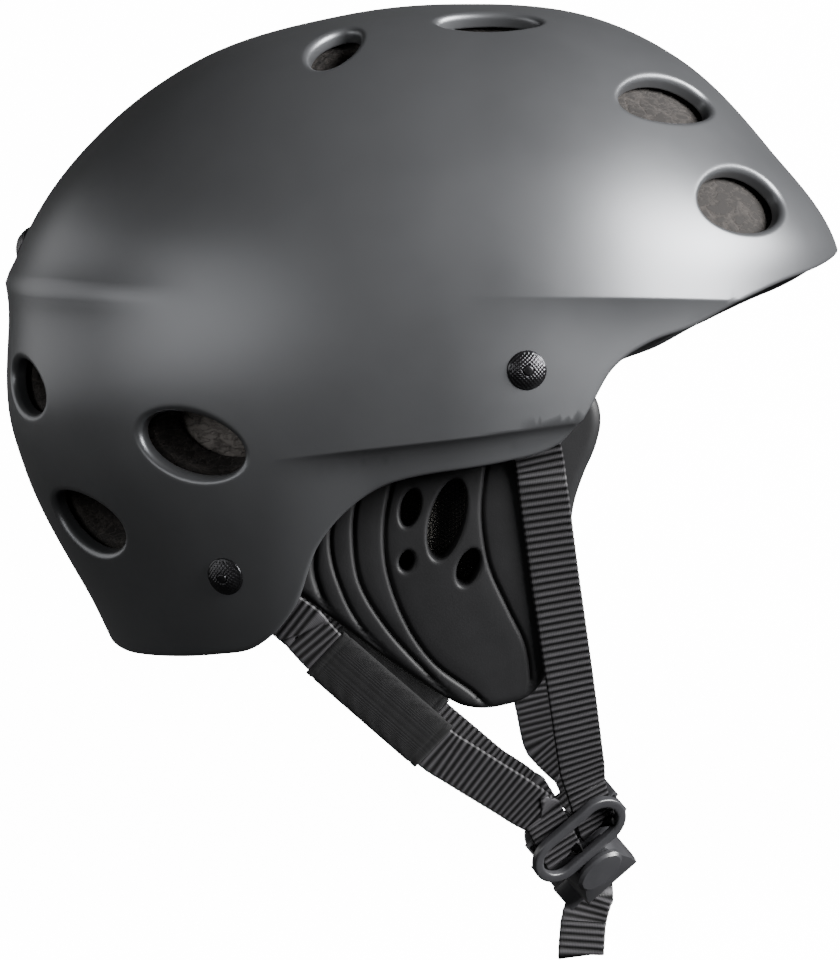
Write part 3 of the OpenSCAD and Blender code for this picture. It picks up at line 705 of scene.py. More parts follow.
def makePads():
    # pale brushed cloth: the same folded noise as the foam, with painted shade darkening its creases
    cloth = foamFinish("padCloth", (0.26, 0.24, 0.225), (0.05, 0.046, 0.042))
    rows, columns = ((48, 120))
    for name, plan in padPlans.items():
        thick = linerShape["padThickness"]
        if "rim" in plan:
            t = np.linspace(0, 1, rows)[:, None]
            a = np.linspace(0, 360, columns, endpoint=False)[None, :] + 0 * t
            edge = plan["rim"] - 6 * np.abs(np.cos(np.radians(a)))
            e = edge + (89.4 - edge) * t
            height = np.clip(1 - (1 - t)**5, 0, 1)**0.5 * (1 - 0.5 * np.exp(-((t - 0.5) / 0.03)**2)) + 0 * a
            spokes = np.exp(-(np.sin(np.radians(a) * 3) / 0.10)**2) * (t > 0.5) * (1 - ease((t - 0.5) / 0.5))
            height = height * (1 - 0.45 * spokes)
            low = shellPoint(a, e, linerInner(a, e) + linerShape["padGap"], True)
            high = shellPoint(a, e, linerInner(a, e) + linerShape["padGap"] + thick * height * 0.92, True)
            points = np.concatenate([low.reshape(-1, 3), high.reshape(-1, 3)])
            n = rows * columns
            quads = gridFaces(rows, columns, wrapColumns=True)
            i = np.arange(columns)
            j = (i + 1) % columns
            band = np.stack([j, i, i + n, j + n], -1)
            top = (rows - 1) * columns
            points = np.concatenate([points, [low[-1].mean(0), high[-1].mean(0)]])
            caps = np.concatenate([np.stack([top + i, top + j, np.full(columns, 2 * n)], -1),
                                   np.stack([top + j + n, top + i + n, np.full(columns, 2 * n + 1)], -1)])
            piece = addPiece(name + "Cloth", points, [np.concatenate([quads, quads[:, ::-1] + n, band]), caps])
        else:
            a0, a1, e0, e1 = plan["box"]
            v, u = np.meshgrid(np.linspace(0, 1, rows), np.linspace(0, 1, columns), indexing="ij")
            corner = 1 - 0.10 * np.abs(2 * u - 1)**6
            a = a0 + (a1 - a0) * u
            e = (e0 + e1) / 2 + (e1 - e0) * (v - 0.5) * corner
            low = shellPoint(a, e, linerInner(a, e) + linerShape["padGap"], True)
            swelling = 0.05 + thick * 0.92 * padCrown(u, v, plan["channels"])
            high = shellPoint(a, e, linerInner(a, e) + linerShape["padGap"] + swelling, True)
            points = np.concatenate([low.reshape(-1, 3), high.reshape(-1, 3)])
            n = rows * columns
            quads = gridFaces(rows, columns)
            border = np.concatenate([
                np.stack([np.arange(columns - 1), np.arange(1, columns)], -1),
                np.stack([n - 1 - np.arange(columns - 1), n - 2 - np.arange(columns - 1)], -1),
                np.stack([columns * np.arange(1, rows) - 1, columns * np.arange(2, rows + 1) - 1], -1),
                np.stack([columns * np.arange(rows - 1, 0, -1), columns * np.arange(rows - 2, -1, -1)], -1)])
            band = np.stack([border[:, 1], border[:, 0], border[:, 0] + n, border[:, 1] + n], -1)
            piece = addPiece(name + "Cloth", points, np.concatenate([quads, quads[:, ::-1] + n, band]))
        piece.data.materials.append(cloth)
        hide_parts(name)
        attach(piece, "helmet")
    print("pads")


# rivets

rivetPlan = {"diameter": 12.5, "height": 2.6, "pitch": 0.95, "rough": 0.17}
rivetPlaces = {"front_left_rivet": (82.8, -11.1), "front_right_rivet": (-82.8, -11.1),
               "rear_left_rivet": (134.7, -36.5), "rear_right_rivet": (-134.7, -36.5),
               "rear_centre_rivet": (180.0, 9.5)}


def makeRivets():
    finish = Finish("blackRivet")
    scratch = finish.noise(900.0, 3.0, 0.6)
    finish.bump(scratch, 0.08, 0.0001)
    finish.set(Base_Color=finish.mix(scratch, (0.022, 0.022, 0.024), (0.055, 0.055, 0.058)), Metallic=0.85,
               Roughness=scratch * 0.12 + rivetPlan["rough"])
    half, high = rivetPlan["diameter"] / 2, rivetPlan["height"]
    size = (half * half + high * high) / (2 * high)
    turns, steps = 120, 44
    for name, (a, e) in rivetPlaces.items():
        n = shellNormal(a, e)
        h = unit(np.cross([0.0, 0.0, 1.0], n))
        v = np.cross(n, h)
        p = shellPoint(a, e)
        t = np.linspace(0, 1, steps)[:, None]
        spin = np.linspace(0, 2 * math.pi, turns, endpoint=False)[None, :]
        r = half * t + 0 * spin
        x, y = r * np.cos(spin), r * np.sin(spin)
        dome = np.sqrt(size * size - r * r) - (size - high) + 0.15
        # knurl: product of two slanted saw waves, smooth in the middle disc and at the edge
        k1 = np.abs(np.mod((x + y) / rivetPlan["pitch"] / 1.414, 1) - 0.5) * 2
        k2 = np.abs(np.mod((x - y) / rivetPlan["pitch"] / 1.414, 1) - 0.5) * 2
        knurl = np.minimum(k1, k2) * 0.34 * ease((0.93 - t) / 0.05) * ease((r - 1.7) / 0.3)
        ring = -0.25 * np.exp(-((r - 1.7) / 0.22)**2)
        height = dome - 0.30 * ease((0.93 - t) / 0.05) * ease((r - 1.5) / 0.2) + knurl + ring
        skirt = np.array([[half, 0.0], [half * 0.99, -0.35], [2.2, -0.35], [2.0, -0.5], [2.0, -6.2]])
        sx = skirt[:, 0][:, None] * np.cos(spin)
        sy = skirt[:, 0][:, None] * np.sin(spin)
        sz = skirt[:, 1][:, None] + 0 * spin
        x, y = np.concatenate([x[1:], sx]), np.concatenate([y[1:], sy])
        z = np.concatenate([height[1:], sz])
        grid = p + x[..., None] * h + y[..., None] * v + z[..., None] * n
        rows = grid.shape[0]
        points = np.concatenate([grid.reshape(-1, 3), [p + n * height[0, 0]], [p - n * 6.2]])
        quads = gridFaces(rows, turns, wrapColumns=True, flip=True)
        i = np.arange(turns)
        j = (i + 1) % turns
        last = (rows - 1) * turns
        caps = np.concatenate([np.stack([i, j, np.full(turns, rows * turns)], -1),
                               np.stack([last + j, last + i, np.full(turns, rows * turns + 1)], -1)])
        piece = addPiece(name + "Head", points, [quads, caps])
        piece.data.materials.append(finish.material)
        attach(piece, "helmet")
        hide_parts(name)
    print("rivets")


# straps

strapPlan = {"width": 16.0, "thickness": 1.5, "ribPitch": 2.35, "ribHeight": 0.36,
             "tilt": math.radians(34),
             "hangLine": [(20, 93.5), (50, 92.5), (68, 91), (90, 85.5), (115, 77), (135, 68.5), (155, 57),
                          (170, 45.2), (182, 34.5), (195, 22)],
             "slant": math.radians(51.3), "barMid": (35.8, 176.3), "ringMid": (40.0, 175.5), "ringS": -54.5,
             "buckleTurn": math.radians(7), "buckleShift": (-1.3, 0, -3)}


def local(s, y, w):
    # s along the hinge line, w away from the rim, both in the side plane
    s, y, w = np.broadcast_arrays(np.asarray(s, float), np.asarray(y, float), np.asarray(w, float))
    t = strapPlan["tilt"]
    return np.stack([s * math.cos(t) + w * math.sin(t), y, s * math.sin(t) - w * math.cos(t)], -1)


def aim(v):
    # the rings and the buckle hang turned a little: a turn about the y axis
    k = strapPlan["buckleTurn"]
    v = np.asarray(v, float)
    return np.stack([v[..., 0] * math.cos(k) - v[..., 2] * math.sin(k), v[..., 1],
                     v[..., 0] * math.sin(k) + v[..., 2] * math.cos(k)], -1)


def placed(s, y, w):
    pivot = local(strapPlan["ringS"], 0, 176)
    return pivot + np.array(strapPlan["buckleShift"]) + aim(local(s, y, w) - pivot)


def hang(s, w):
    s, w = np.asarray(s, float), np.asarray(w, float)
    lean = 0.11 * np.maximum(0, -2 - s) * (1 - ease((w - 68) / 97))
    return local(s, curve(strapPlan["hangLine"], w) - lean, w)


def hangNormal(s, w):
    n = unit(np.cross(hang(s, w + 1) - hang(s, w - 1), hang(s + 1, w) - hang(s - 1, w)))
    return n * np.sign(n[..., 1:2])


def smoothPath(points, step):
    # rounded line through corner points, evenly spaced; Catmull-Rom pieces resampled by length
    p = np.asarray(points, float)
    p = np.concatenate([[2 * p[0] - p[1]], p, [2 * p[-1] - p[-2]]])
    t = np.linspace(0, 1, 24, endpoint=False)[:, None]
    runs = [0.5 * (2 * b + (c - a) * t + (2 * a - 5 * b + 4 * c - d) * t**2 + (3 * b - a - 3 * c + d) * t**3)
            for a, b, c, d in zip(p[:-3], p[1:-2], p[2:-1], p[3:])]
    line = np.concatenate(runs + [p[-2:-1]])
    gone = np.concatenate([[0], np.cumsum(np.linalg.norm(np.diff(line, axis=0), axis=1))])
    count = max(8, int(round(gone[-1] / step)))
    at = np.linspace(0, gone[-1], count + 1)
    return np.stack([np.interp(at, gone, line[:, k]) for k in range(line.shape[1])], -1), at


def webbing(name, centres, across, widths, finish, ribbed=True):
    # flat woven band: rounded-edge section carried along the path, ribs across it every pitch
    n = len(centres)
    along = unit(np.gradient(centres, axis=0))
    side = unit(across - along * np.sum(across * along, -1, keepdims=True))
    up = np.cross(side, along)
    gone = np.concatenate([[0], np.cumsum(np.linalg.norm(np.diff(centres, axis=0), axis=1))])
    u = np.array([-1, -0.992, -0.96, -0.9, -0.7, -0.35, 0, 0.35, 0.7, 0.9, 0.96, 0.992, 1.0])
    m = len(u)
    thick = strapPlan["thickness"] / 2
    edge = np.array([0.0, 0.45, 0.8, 1, 1, 1, 1, 1, 1, 1, 0.8, 0.45, 0.0]) * thick
    rib = np.abs(np.sin(math.pi * gone / strapPlan["ribPitch"]))**0.9 if ribbed else np.ones(n)
    height = (1 - rib) * strapPlan["ribHeight"]
    inset = 1 - 0.018 * (1 - rib)
    x = u[None, :] * (np.asarray(widths)[:, None] / 2) * inset[:, None]
    fall = (edge > 0.9 * thick).astype(float)
    top = edge[None, :] - height[:, None] * fall[None, :]
    topGrid = centres[:, None] + x[..., None] * side[:, None] + top[..., None] * up[:, None]
    lowGrid = centres[:, None] + x[:, 1:-1, None] * side[:, None] - top[:, 1:-1, None] * up[:, None]
    section = np.concatenate([topGrid, lowGrid[:, ::-1]], 1)
    k = section.shape[1]
    faces = gridFaces(n, k, wrapColumns=True)
    points = section.reshape(-1, 3)
    first = np.arange(k)
    points = np.concatenate([points, [centres[0], centres[-1]]])
    nxt = (first + 1) % k
    caps = np.concatenate([np.stack([first, nxt, np.full(k, n * k)], -1),
                           np.stack([(n - 1) * k + nxt, (n - 1) * k + first, np.full(k, n * k + 1)], -1)])
    uvAcross = np.concatenate([u, u[1:-1][::-1]]) * strapPlan["width"] / 2 * mm
    uv = gridMap(uvAcross[None], gone[:, None] * mm, n, k)
    uv = np.concatenate([uv, [[0, 0], [0, 0]]])
    piece = addPiece(name, points, [faces, caps], uv=uv)
    piece.data.materials.append(finish)
    return piece


def webbingFinish():
    # twisted warp threads across the band and fine weft along it, from the band's own map; the rib tops carry a
    # painted highlight in the colour
    f = Finish("ribbedWebbing")
    x, y = f.clothMap()
    threads = ((x * (math.pi / 0.00055)).sin().abs())
    twill = (((x + y * 1.2) * (math.pi / 0.0009)).sin().abs())
    fuzz = f.noise(2500.0, 2.0, 0.7)
    height = threads * 0.5 + twill * 0.1 + fuzz * 0.3
    f.bump(height, 0.4, 0.0002)
    rib = ((y * (math.pi / (strapPlan["ribPitch"] * mm))).sin().abs())
    # painted highlight: the rib tops are coloured far paler than the grooves between them, mixed with the thread and
    # fuzz tone
    paintedRibHighlightAndThreads = rib * rib * rib * (threads * 0.4 + fuzz * 0.2 + 0.4)
    return f.set(Base_Color=f.mix(paintedRibHighlightAndThreads, (0.0010, 0.0010, 0.0011), (0.060, 0.058, 0.062)), Roughness=0.5,
                 Specular_IOR_Level=0.22)


strapRoutes = {
    "front": {"right": [(0, 68.6), (-15, 99.5), (-33, 138), (-42, 157), (-46, 167)],
              "left": [(0, 68.6), (-8, 85), (-25, 106), (-43, 138), (-49.5, 153), (-47.5, 167)], "bar": -46.9,
              "rivet": (82.8, -11.1), "above": (82.8, -7.3),
              "between": [(34.8, 100.9, -35.5), (36.3, 95.9, -46.5)],
              "face": (0, 1, 0)},
    "rear": {"right": [(-92.3, 68.6), (-91, 78), (-78.6, 126.4), (-67.3, 153.3), (-62.6, 166)],
             "left": [(-92.3, 68.6), (-91, 78), (-78.6, 126.4), (-71.5, 150), (-64, 166)], "bar": -62.1,
             "rivet": (134.7, -36.5), "above": (138.6, -33.6), "between": [(-50.5, 81.6, -99)],
             "face": (-0.38, 0.88, -0.28)},
}


def atBar(s, t, n):
    y0, w0 = strapPlan["barMid"]
    k = strapPlan["slant"]
    t, n = np.asarray(t, float), np.asarray(n, float)
    return placed(s, y0 - math.cos(k) * t + math.sin(k) * n, w0 + math.sin(k) * t + math.cos(k) * n)


def makeStraps(finish):
    step = strapPlan["ribPitch"] / 6
    for kind, route in strapRoutes.items():
        for sideName, mirror in (("left", 1.0), ("right", -1.0)):
            s, w = np.array(route[sideName]).T
            fine = np.linspace(0, len(s) - 1, 60)
            ss, ww = np.interp(fine, np.arange(len(s)), s), np.interp(fine, np.arange(len(s)), w)
            hung = hang(ss, ww)
            turns = np.radians([90, 60, 30, 0, -30, -60, -90])
            loop = atBar(route["bar"], 2.8 * np.cos(turns), 2.8 * np.sin(turns))
            tail = atBar(route["bar"], [-6], [-3])
            n1 = shellNormal(*route["above"])
            n2 = shellNormal(*route["rivet"])
            head = np.array([shellPoint(*route["above"]) - n1 * 5.1, shellPoint(*route["rivet"]) - n2 * 5.0]
                            + [np.array(p, float) for p in route["between"]])
            path, gone = smoothPath(np.concatenate([head, hung[::3], hung[-1:], loop, tail]), step)
            t = strapPlan["tilt"]
            axis = aim(local(1, 0, 0))
            wOf = path[:, 0] * math.sin(t) - path[:, 2] * math.cos(t)
            sOf = path[:, 0] * math.cos(t) + path[:, 2] * math.sin(t)
            along = unit(np.gradient(path, axis=0))
            face = hangNormal(sOf, np.clip(wOf, 60, 172))
            acrossHang = np.cross(along, face)
            acrossHead = np.cross(along, np.array(route["face"], float))
            nearRim = ease((wOf - 55) / 14)[:, None]
            nearBar = ease((wOf - 158) / 10)[:, None]
            nearBar = np.maximum.accumulate(nearBar, 0)
            nearRim = np.maximum.accumulate(nearRim, 0)
            across = unit(acrossHead) * (1 - nearRim) + unit(acrossHang) * nearRim
            sign = np.sign(np.sum(across * axis, -1, keepdims=True))
            across = across * (1 - nearBar) + axis * np.where(sign == 0, 1, sign)[0] * nearBar
            widths = strapPlan["width"] - 1.8 * nearBar[:, 0]
            points = path * [1, mirror, 1]
            across = across * [1, mirror, 1] * mirror
            piece = webbing(kind + sideName.capitalize() + "Webbing", points, across, widths, finish)
            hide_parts("%s_%s_strap" % (kind, sideName), "%s_%s_strap_end" % (kind, sideName))
            mid = hang(s[0], 67.0) * [1, mirror, 1] * mm
            down = unit(hang(s[0], 72.0) - hang(s[0], 62.0)) * [1, mirror, 1]
            tuple(mid - down * 0.004)
            tuple(mid + down * 0.006)
            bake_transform(piece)
    print("straps")


def makeChinWebbing(finish):
    # through the ladder lock's bars, in the plug's own plane, then the folded tail
    run = [(18.8, -5.6), (21, -6.2), (23.2, -6.3), (25.2, -5.5), (26, -3.5), (25.2, -1.5), (23.2, -0.7),
           (21, 0.9), (19.4, 2.7), (17, 3.6), (15.2, 3.6), (13.3, 2.4), (11.3, 0), (9.3, -2.6), (6.8, -3.3),
           (4.4, -2.6), (3.1, 0), (2.9, 4.2)]
    v, n = np.array(run).T
    first = placed(-62, 9 + 0.949 * v + 0.314 * n, 194.3 - 0.314 * v + 0.949 * n)
    tail = np.array([(59.8, 15.8, -205.5), (57.3, 13.2, -213), (56.2, 11, -221), (55.9, 10, -224.6),
                     (55.8, 8.4, -225.6), (55.9, 7.4, -224.2), (56.6, 8.2, -214)], float)
    path, gone = smoothPath(np.concatenate([first, tail]), strapPlan["ribPitch"] / 6)
    t = strapPlan["tilt"] + strapPlan["buckleTurn"]
    turned = ease((-202 - path[:, 2]) / 12)
    turned = np.maximum.accumulate(turned)[:, None]
    across = np.array([math.cos(t), 0, math.sin(t)]) * (1 - turned) + np.array([0.99, 0, 0.14]) * turned
    piece = webbing("chinWebbing", path, across, np.full(len(path), strapPlan["width"]), finish)
    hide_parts("chin_webbing")
    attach(piece, "left_straps")


def makeSleeves():
    # soft tube round the rear strap: flattened oval section, hemmed and puckered near its ends
    f = Finish("sleeveCloth")
    x, y = f.clothMap()
    weave = (x * (math.pi / 0.0005)).sin().abs() * (y * (math.pi / 0.0005)).sin().abs()
    soft = f.noise(180.0, 3.0, 0.5)
    f.bump(weave * 0.5 + soft * 0.8, 0.4, 0.0004)
    f.set(Base_Color=f.mix(weave * 0.6 + soft * 0.4, (0.0015, 0.0015, 0.0017), (0.006, 0.006, 0.0065)),
          Roughness=0.75, Specular_IOR_Level=0.25, Sheen_Weight=0.04, Sheen_Roughness=0.5)
    for sideName, mirror in (("left", 1.0), ("right", -1.0)):
        k = np.linspace(0, 1, 160)
        ss, ww = -90.6 + 11.7 * k, 79.5 + 45.5 * k
        centre = hang(ss, ww)
        along = unit(np.gradient(centre, axis=0))
        face = hangNormal(ss, ww)
        side = unit(np.cross(along, face))
        m = 96
        turn = np.linspace(0, 2 * math.pi, m, endpoint=False)
        c, s = np.cos(turn), np.sin(turn)
        hem = np.exp(-((k - 0.055) / 0.012)**2) + np.exp(-((k - 0.945) / 0.012)**2)
        lipRoll = ease(k / 0.02) * ease((1 - k) / 0.02)
        half = 9.2 - 0.25 * hem
        thick = (1.40 - 0.28 * hem) * (0.65 + 0.35 * lipRoll)
        x = half[:, None] * np.sign(c) * np.abs(c)**0.55
        wrinkle = 0.10 * np.sin(k[:, None] * 42 + 3 * np.sin(turn)[None] * 1.5) * np.sin(turn * 3)[None]
        y = (thick[:, None] + wrinkle) * np.sign(s) * np.abs(s)**0.5
        outer = centre[:, None] + x[..., None] * side[:, None] + y[..., None] * face[:, None]
        inner = centre[:, None] + (x * 0.93)[..., None] * side[:, None] + (y * 0.72)[..., None] * face[:, None]
        rows = np.concatenate([outer, inner[::-1]], 0)
        n = rows.shape[0]
        points = rows.reshape(-1, 3) * [1, mirror, 1]
        faces = gridFaces(n, m, wrapRows=True, wrapColumns=True, flip=(mirror > 0))
        along2 = np.concatenate([k, k[::-1]]) * 0.047
        uv = gridMap(turn[None] * 0.0065, along2[:, None], n, m)
        piece = addPiece(sideName + "SleeveCloth", points, faces, uv=uv)
        piece.data.materials.append(f.material)
        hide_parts(sideName + "_sleeve")
        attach(piece, sideName + "_straps")
    print("sleeves")


# ear flaps

flapPlan = {
    "outline": [(-44, -96), (-38, -99.5), (-14, -117.5), (8, -132.5), (18, -136.5), (28, -136), (37, -132.5),
                (43, -124), (47, -110), (49, -90), (50, -72), (53, -61), (57, -51), (58.5, -42), (56, -34),
                (49, -29), (30, -36), (10, -42), (-12, -48), (-30, -62), (-42, -76), (-46, -88)],
    "near": 1.7, "thickness": 9.0, "edgeRound": 3.6, "tipRound": 4.2,
    # holes: x, z, half length, half width, turn
    "holes": [(-3.3, -70.2, 6.2, 3.2, -14), (8.6, -74, 13.4, 5.6, -14), (-4.3, -87.4, 3.4, 2.4, -14),
              (15.6, -89.5, 6.2, 3.5, -20)],
    # grooves: corner points, depth, half width
    "grooves": [
        ([(22, -52), (20.5, -62), (20, -74), (22.5, -89), (29, -103.5), (34.5, -115), (36.5, -128),
          (35.5, -140)], 1.2, 0.6),
        ([(-6, -54), (-9.5, -64), (-11.5, -77), (-10, -92), (-4, -108), (5, -121), (18, -131),
          (26, -140)], 1.3, 0.65),
        ([(-17, -58), (-20.5, -68), (-21.5, -80), (-19, -95), (-10, -110), (3, -124.5), (12, -134)], 1.3, 0.65),
        ([(-27, -70), (-29, -80), (-27, -92), (-19.5, -108), (-5, -124), (0, -132)], 1.1, 0.6),
        ([(-34, -82), (-34, -92), (-29, -104), (-18, -117)], 1.2, 0.9)],
    "hinge": 50.0,
}


def lineDistance(points, corners, closed=False):
    # distance of every point to a chain of straight pieces
    c = np.asarray(corners, float)
    start, end = (c, np.roll(c, -1, axis=0)) if closed else (c[:-1], c[1:])
    best = np.full(len(points), 1e9)
    for a, b in zip(start, end):
        d = b - a
        t = np.clip(((points - a) @ d) / (d @ d), 0, 1)
        best = np.minimum(best, np.linalg.norm(points - a - t[:, None] * d, axis=1))
    return best


def insideOf(points, corners):
    # even-odd rule: count the edges crossed by a level line to the right
    c = np.asarray(corners, float)
    e = np.roll(c, -1, axis=0)
    x, y = points[:, :1], points[:, 1:]
    cross = ((c[None, :, 1] > y) != (e[None, :, 1] > y)) & (
        x < (e[None, :, 0] - c[None, :, 0]) * (y - c[None, :, 1]) / np.where(e[None, :, 1] == c[None, :, 1], 1e-9, e[None, :, 1] - c[None, :, 1]) + c[None, :, 0])
    return cross.sum(1) % 2 == 1


def closedCurve(corners, step):
    c = np.asarray(corners, float)
    full = np.concatenate([c[-2:], c, c[:3]])
    line, gone = smoothPath(full, 0.2)
    a = np.argmin(np.linalg.norm(line[:len(line) // 4] - c[0], axis=1))
    z = len(line) // 2 + np.argmin(np.linalg.norm(line[len(line) // 2:] - c[0], axis=1))
    return line[a:z:max(1, int(round(step / 0.2)))]


def holeRing(hole, gap, count=72):
    x, z, half, wide, turn = hole
    t = np.linspace(0, 2 * math.pi, count, endpoint=False)
    u, v = wide * np.cos(t), half * np.sin(t)
    reach = 1 + gap / np.hypot(u, v)
    k = math.radians(turn)
    return np.stack([x + u * reach * math.cos(k) - v * reach * math.sin(k),
                     z + u * reach * math.sin(k) + v * reach * math.cos(k)], -1)


def holeDistance(points):
    best = np.full(len(points), 1e3)
    for x, z, half, wide, turn in flapPlan["holes"]:
        k = math.radians(turn)
        u = (points[:, 0] - x) * math.cos(k) + (points[:, 1] - z) * math.sin(k)
        v = -(points[:, 0] - x) * math.sin(k) + (points[:, 1] - z) * math.cos(k)
        level = np.sqrt((u / wide)**2 + (v / half)**2) + 1e-9
        best = np.minimum(best, (level - 1) * np.hypot(u, v) / level)
    return best


def flapPoint(p, depth):
    # a point of the flap's plan (x, z) carried onto the hanging surface and sunk by depth
    t = strapPlan["tilt"]
    s, w = p[:, 0] * math.cos(t) + p[:, 1] * math.sin(t), p[:, 0] * math.sin(t) - p[:, 1] * math.cos(t)
    return hang(s, w) - hangNormal(s, w) * np.asarray(depth)[:, None]


def makeFlaps():
    finish = Finish("flapFoam")
    grain = finish.noise(1700.0, 3.0, 0.6)
    mottle = finish.noise(90.0, 3.0, 0.5)
    finish.bump(grain * 0.5 + mottle * 0.5, 0.25, 0.0003)
    finish.set(Base_Color=finish.mix(mottle, (0.009, 0.009, 0.0095), (0.015, 0.015, 0.016)),
               Roughness=grain * 0.10 + 0.48, Specular_IOR_Level=0.24)
    step = 1.25
    edgeGaps = [0, 0.15, 0.5, 1.0, 1.7, 2.6, 3.6]
    holeGaps = [0, 0.1, 0.35, 0.8, 1.3, 2.0]
    rim = closedCurve(flapPlan["outline"], 1.4)
    step2 = np.roll(rim, -1, axis=0) - np.roll(rim, 1, axis=0)
    normalOut = unit(np.stack([step2[:, 1], -step2[:, 0]], -1))
    if insideOf((rim[:1] + normalOut[:1] * 0.5), rim)[0]:
        normalOut = -normalOut
    points, links, total = [], [], 0
    for k, gap in enumerate(edgeGaps):
        ring = rim - normalOut * gap
        if k:
            good = lineDistance(ring, rim, True) > gap * 0.93
            ring = ring[good]
        points.append(ring)
        if k == 0:
            ids = np.arange(len(ring))
            links.append(np.stack([ids, np.roll(ids, -1)], -1))
        total += len(ring)
    for hole in flapPlan["holes"]:
        for gap in holeGaps:
            ring = holeRing(hole, gap)
            points.append(ring)
            ids = total + np.arange(len(ring))
            links.append(np.stack([ids, np.roll(ids, -1)], -1))
            total += len(ring)

    def clearOf(q, gap):
        # inside the outline and clear of the rings along it and round the holes
        return (insideOf(q, rim) & (lineDistance(q, rim, True) > edgeGaps[-1] + gap)
                & (holeDistance(q) > holeGaps[-1] + gap))

    grooves = [(smoothPath(c, 1.0)[0], depth, half) for c, depth, half in flapPlan["grooves"]]
    offsets = (-2.4, -1.6, -1.0, -0.5, 0.0, 0.5, 1.0, 1.6, 2.4)
    taken = []
    for line, depth, half in grooves:
        side = unit(np.gradient(line, axis=0))[:, ::-1] * [1, -1]
        for off in offsets:
            q = line + side * off
            ok = clearOf(q, 0.4)
            for other, _, _ in grooves:
                if other is not line:
                    ok &= lineDistance(q, other) > 2.6 if off else lineDistance(q, other) > 0.8
            points.append(q[ok])
    lo, hi = rim.min(0), rim.max(0)
    gx, gz = np.meshgrid(np.arange(lo[0], hi[0], step), np.arange(lo[1], hi[1], step))
    gx = gx + (np.arange(gx.shape[0]) % 2)[:, None] * step / 2
    g = np.stack([gx.ravel(), gz.ravel()], -1)
    near = np.min([lineDistance(g, line) for line, _, _ in grooves], axis=0)
    g = g[clearOf(g, step * 0.4) & (near > 2.4 + step * 0.4)]
    points.append(g)
    flat = np.concatenate(points)
    flat, tris = triangleNet(flat, links, lambda middle: insideOf(middle, rim) & (holeDistance(middle) > 0), 1e-5)
    edge, hole = lineDistance(flat, rim, True), np.maximum(holeDistance(flat), 0)
    cut = np.zeros(len(flat))
    for line, depth, half in grooves:
        d = lineDistance(flat, line)
        cut = np.maximum(cut, depth * np.exp(-(d / half)**2) + 0.22 * depth * np.exp(-(d / 3.0)**2))
    # soft swelling between the grooves, fading towards the outline; highest over the ear
    x, z = flat[:, 0], flat[:, 1]
    swell = 1.5 * ease(edge / 14) * np.exp(-(((x - 6) / 26)**2 + ((z + 92) / 30)**2))
    cut = cut * ease((edge - 0.3) / 3.0)
    face, back = flapPlan["near"] + 0.1, flapPlan["near"] + flapPlan["thickness"]
    topDepth = face + roundOver(edge, flapPlan["edgeRound"]) + roundOver(hole, 1.3) + cut - swell
    lowDepth = back - roundOver(edge, flapPlan["tipRound"]) - roundOver(hole, 0.8)
    middleTop = face + np.where(hole < 0.3, 2.6, flapPlan["edgeRound"] + 0.3)
    middleLow = back - np.where(hole < 0.3, 1.8, flapPlan["tipRound"] + 0.3)
    for sideName, mirror in (("left", 1.0), ("right", -1.0)):
        layers = [flapPoint(flat, d) * [1, mirror, 1] for d in (topDepth, middleTop, middleLow, lowDepth)]
        net = tris[:, ::-1] if mirror > 0 else tris
        piece = closedSheet(sideName + "FlapFoam", layers[0], layers[3], net, [layers[1], layers[2]])
        piece.data.materials.append(finish.material)
        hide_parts(sideName + "_ear_flap", sideName + "_flap_root")
        t = strapPlan["tilt"]
        start, end = (hang(-20.0, flapPlan["hinge"] + d) * [1, mirror, 1] * mm for d in (-5, 7))
        end[1] = start[1]
        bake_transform(piece)
    print("ear flaps", len(tris) * 2, "faces each")


def makeFlapMesh():
    # open-cell mesh behind the holes: a thin sheet with a hexagon-like grid of pits
    f = Finish("flapMesh")
    split = f.node("ShaderNodeSeparateXYZ")
    f.put(split.inputs[0], f.place())
    x, z = Shade(f.tree, split.outputs[0]), Shade(f.tree, split.outputs[2])
    a = (x * (math.pi / 0.0012)).sin().abs()
    b = ((x * 0.5 + z * 0.87) * (math.pi / 0.0012)).sin().abs()
    c = ((x * 0.5 - z * 0.87) * (math.pi / 0.0012)).sin().abs()
    cell = a.least(b).least(c)
    thread = 1.0 - (cell * 2.4).least(1.0)
    f.bump(thread, 0.9, 0.0005)
    f.set(Base_Color=f.mix(thread, (0.004, 0.004, 0.004), (0.20, 0.19, 0.17)), Roughness=0.6)
    v, u = np.meshgrid(np.linspace(52, 96, 40), np.linspace(-60, -14, 50), indexing="ij")
    depth = flapPlan["near"] + flapPlan["thickness"] + 0.45
    edge = np.minimum(np.minimum(v - 52, 96 - v) / 2, np.minimum(u + 60, -14 - u) / 2)
    for sideName, mirror in (("left", 1.0), ("right", -1.0)):
        n = hangNormal(u, v)
        outer = hang(u, v) - n * depth
        inner = hang(u, v) - n * (depth + 0.25 + 0.3 * ease(edge))[..., None]
        k = outer.shape[0] * outer.shape[1]
        rows, columns = u.shape
        quads = gridFaces(rows, columns, flip=(mirror < 0))
        tri = np.concatenate([quads[:, [0, 1, 2]], quads[:, [0, 2, 3]]])
        piece = closedSheet(sideName + "FlapNet", (outer * [1, mirror, 1]).reshape(-1, 3),
                            (inner * [1, mirror, 1]).reshape(-1, 3), tri, [])
        piece.data.materials.append(f.material)
        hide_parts(sideName + "_flap_mesh")
        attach(piece, sideName + "_flap")


# rings and buckle

def plasticFinish():
    # semi-gloss moulded black with a faint grain and faint paler smudges at random
    f = Finish("buckleBlack")
    grain = f.noise(1400.0, 3.0, 0.6)
    smudge = f.noise(120.0, 3.0, 0.6)
    f.bump(grain, 0.12, 0.00012)
    return f.set(Base_Color=f.mix(smudge, (0.022, 0.022, 0.024), (0.038, 0.038, 0.041)),
                 Roughness=smudge * 0.14 + 0.24, Specular_IOR_Level=0.55)


ringPlan = {"half": 9.0, "radius": 7.75, "barWide": 3.5, "barThick": 3.2, "lift": 3.3, "corner": 1.25}


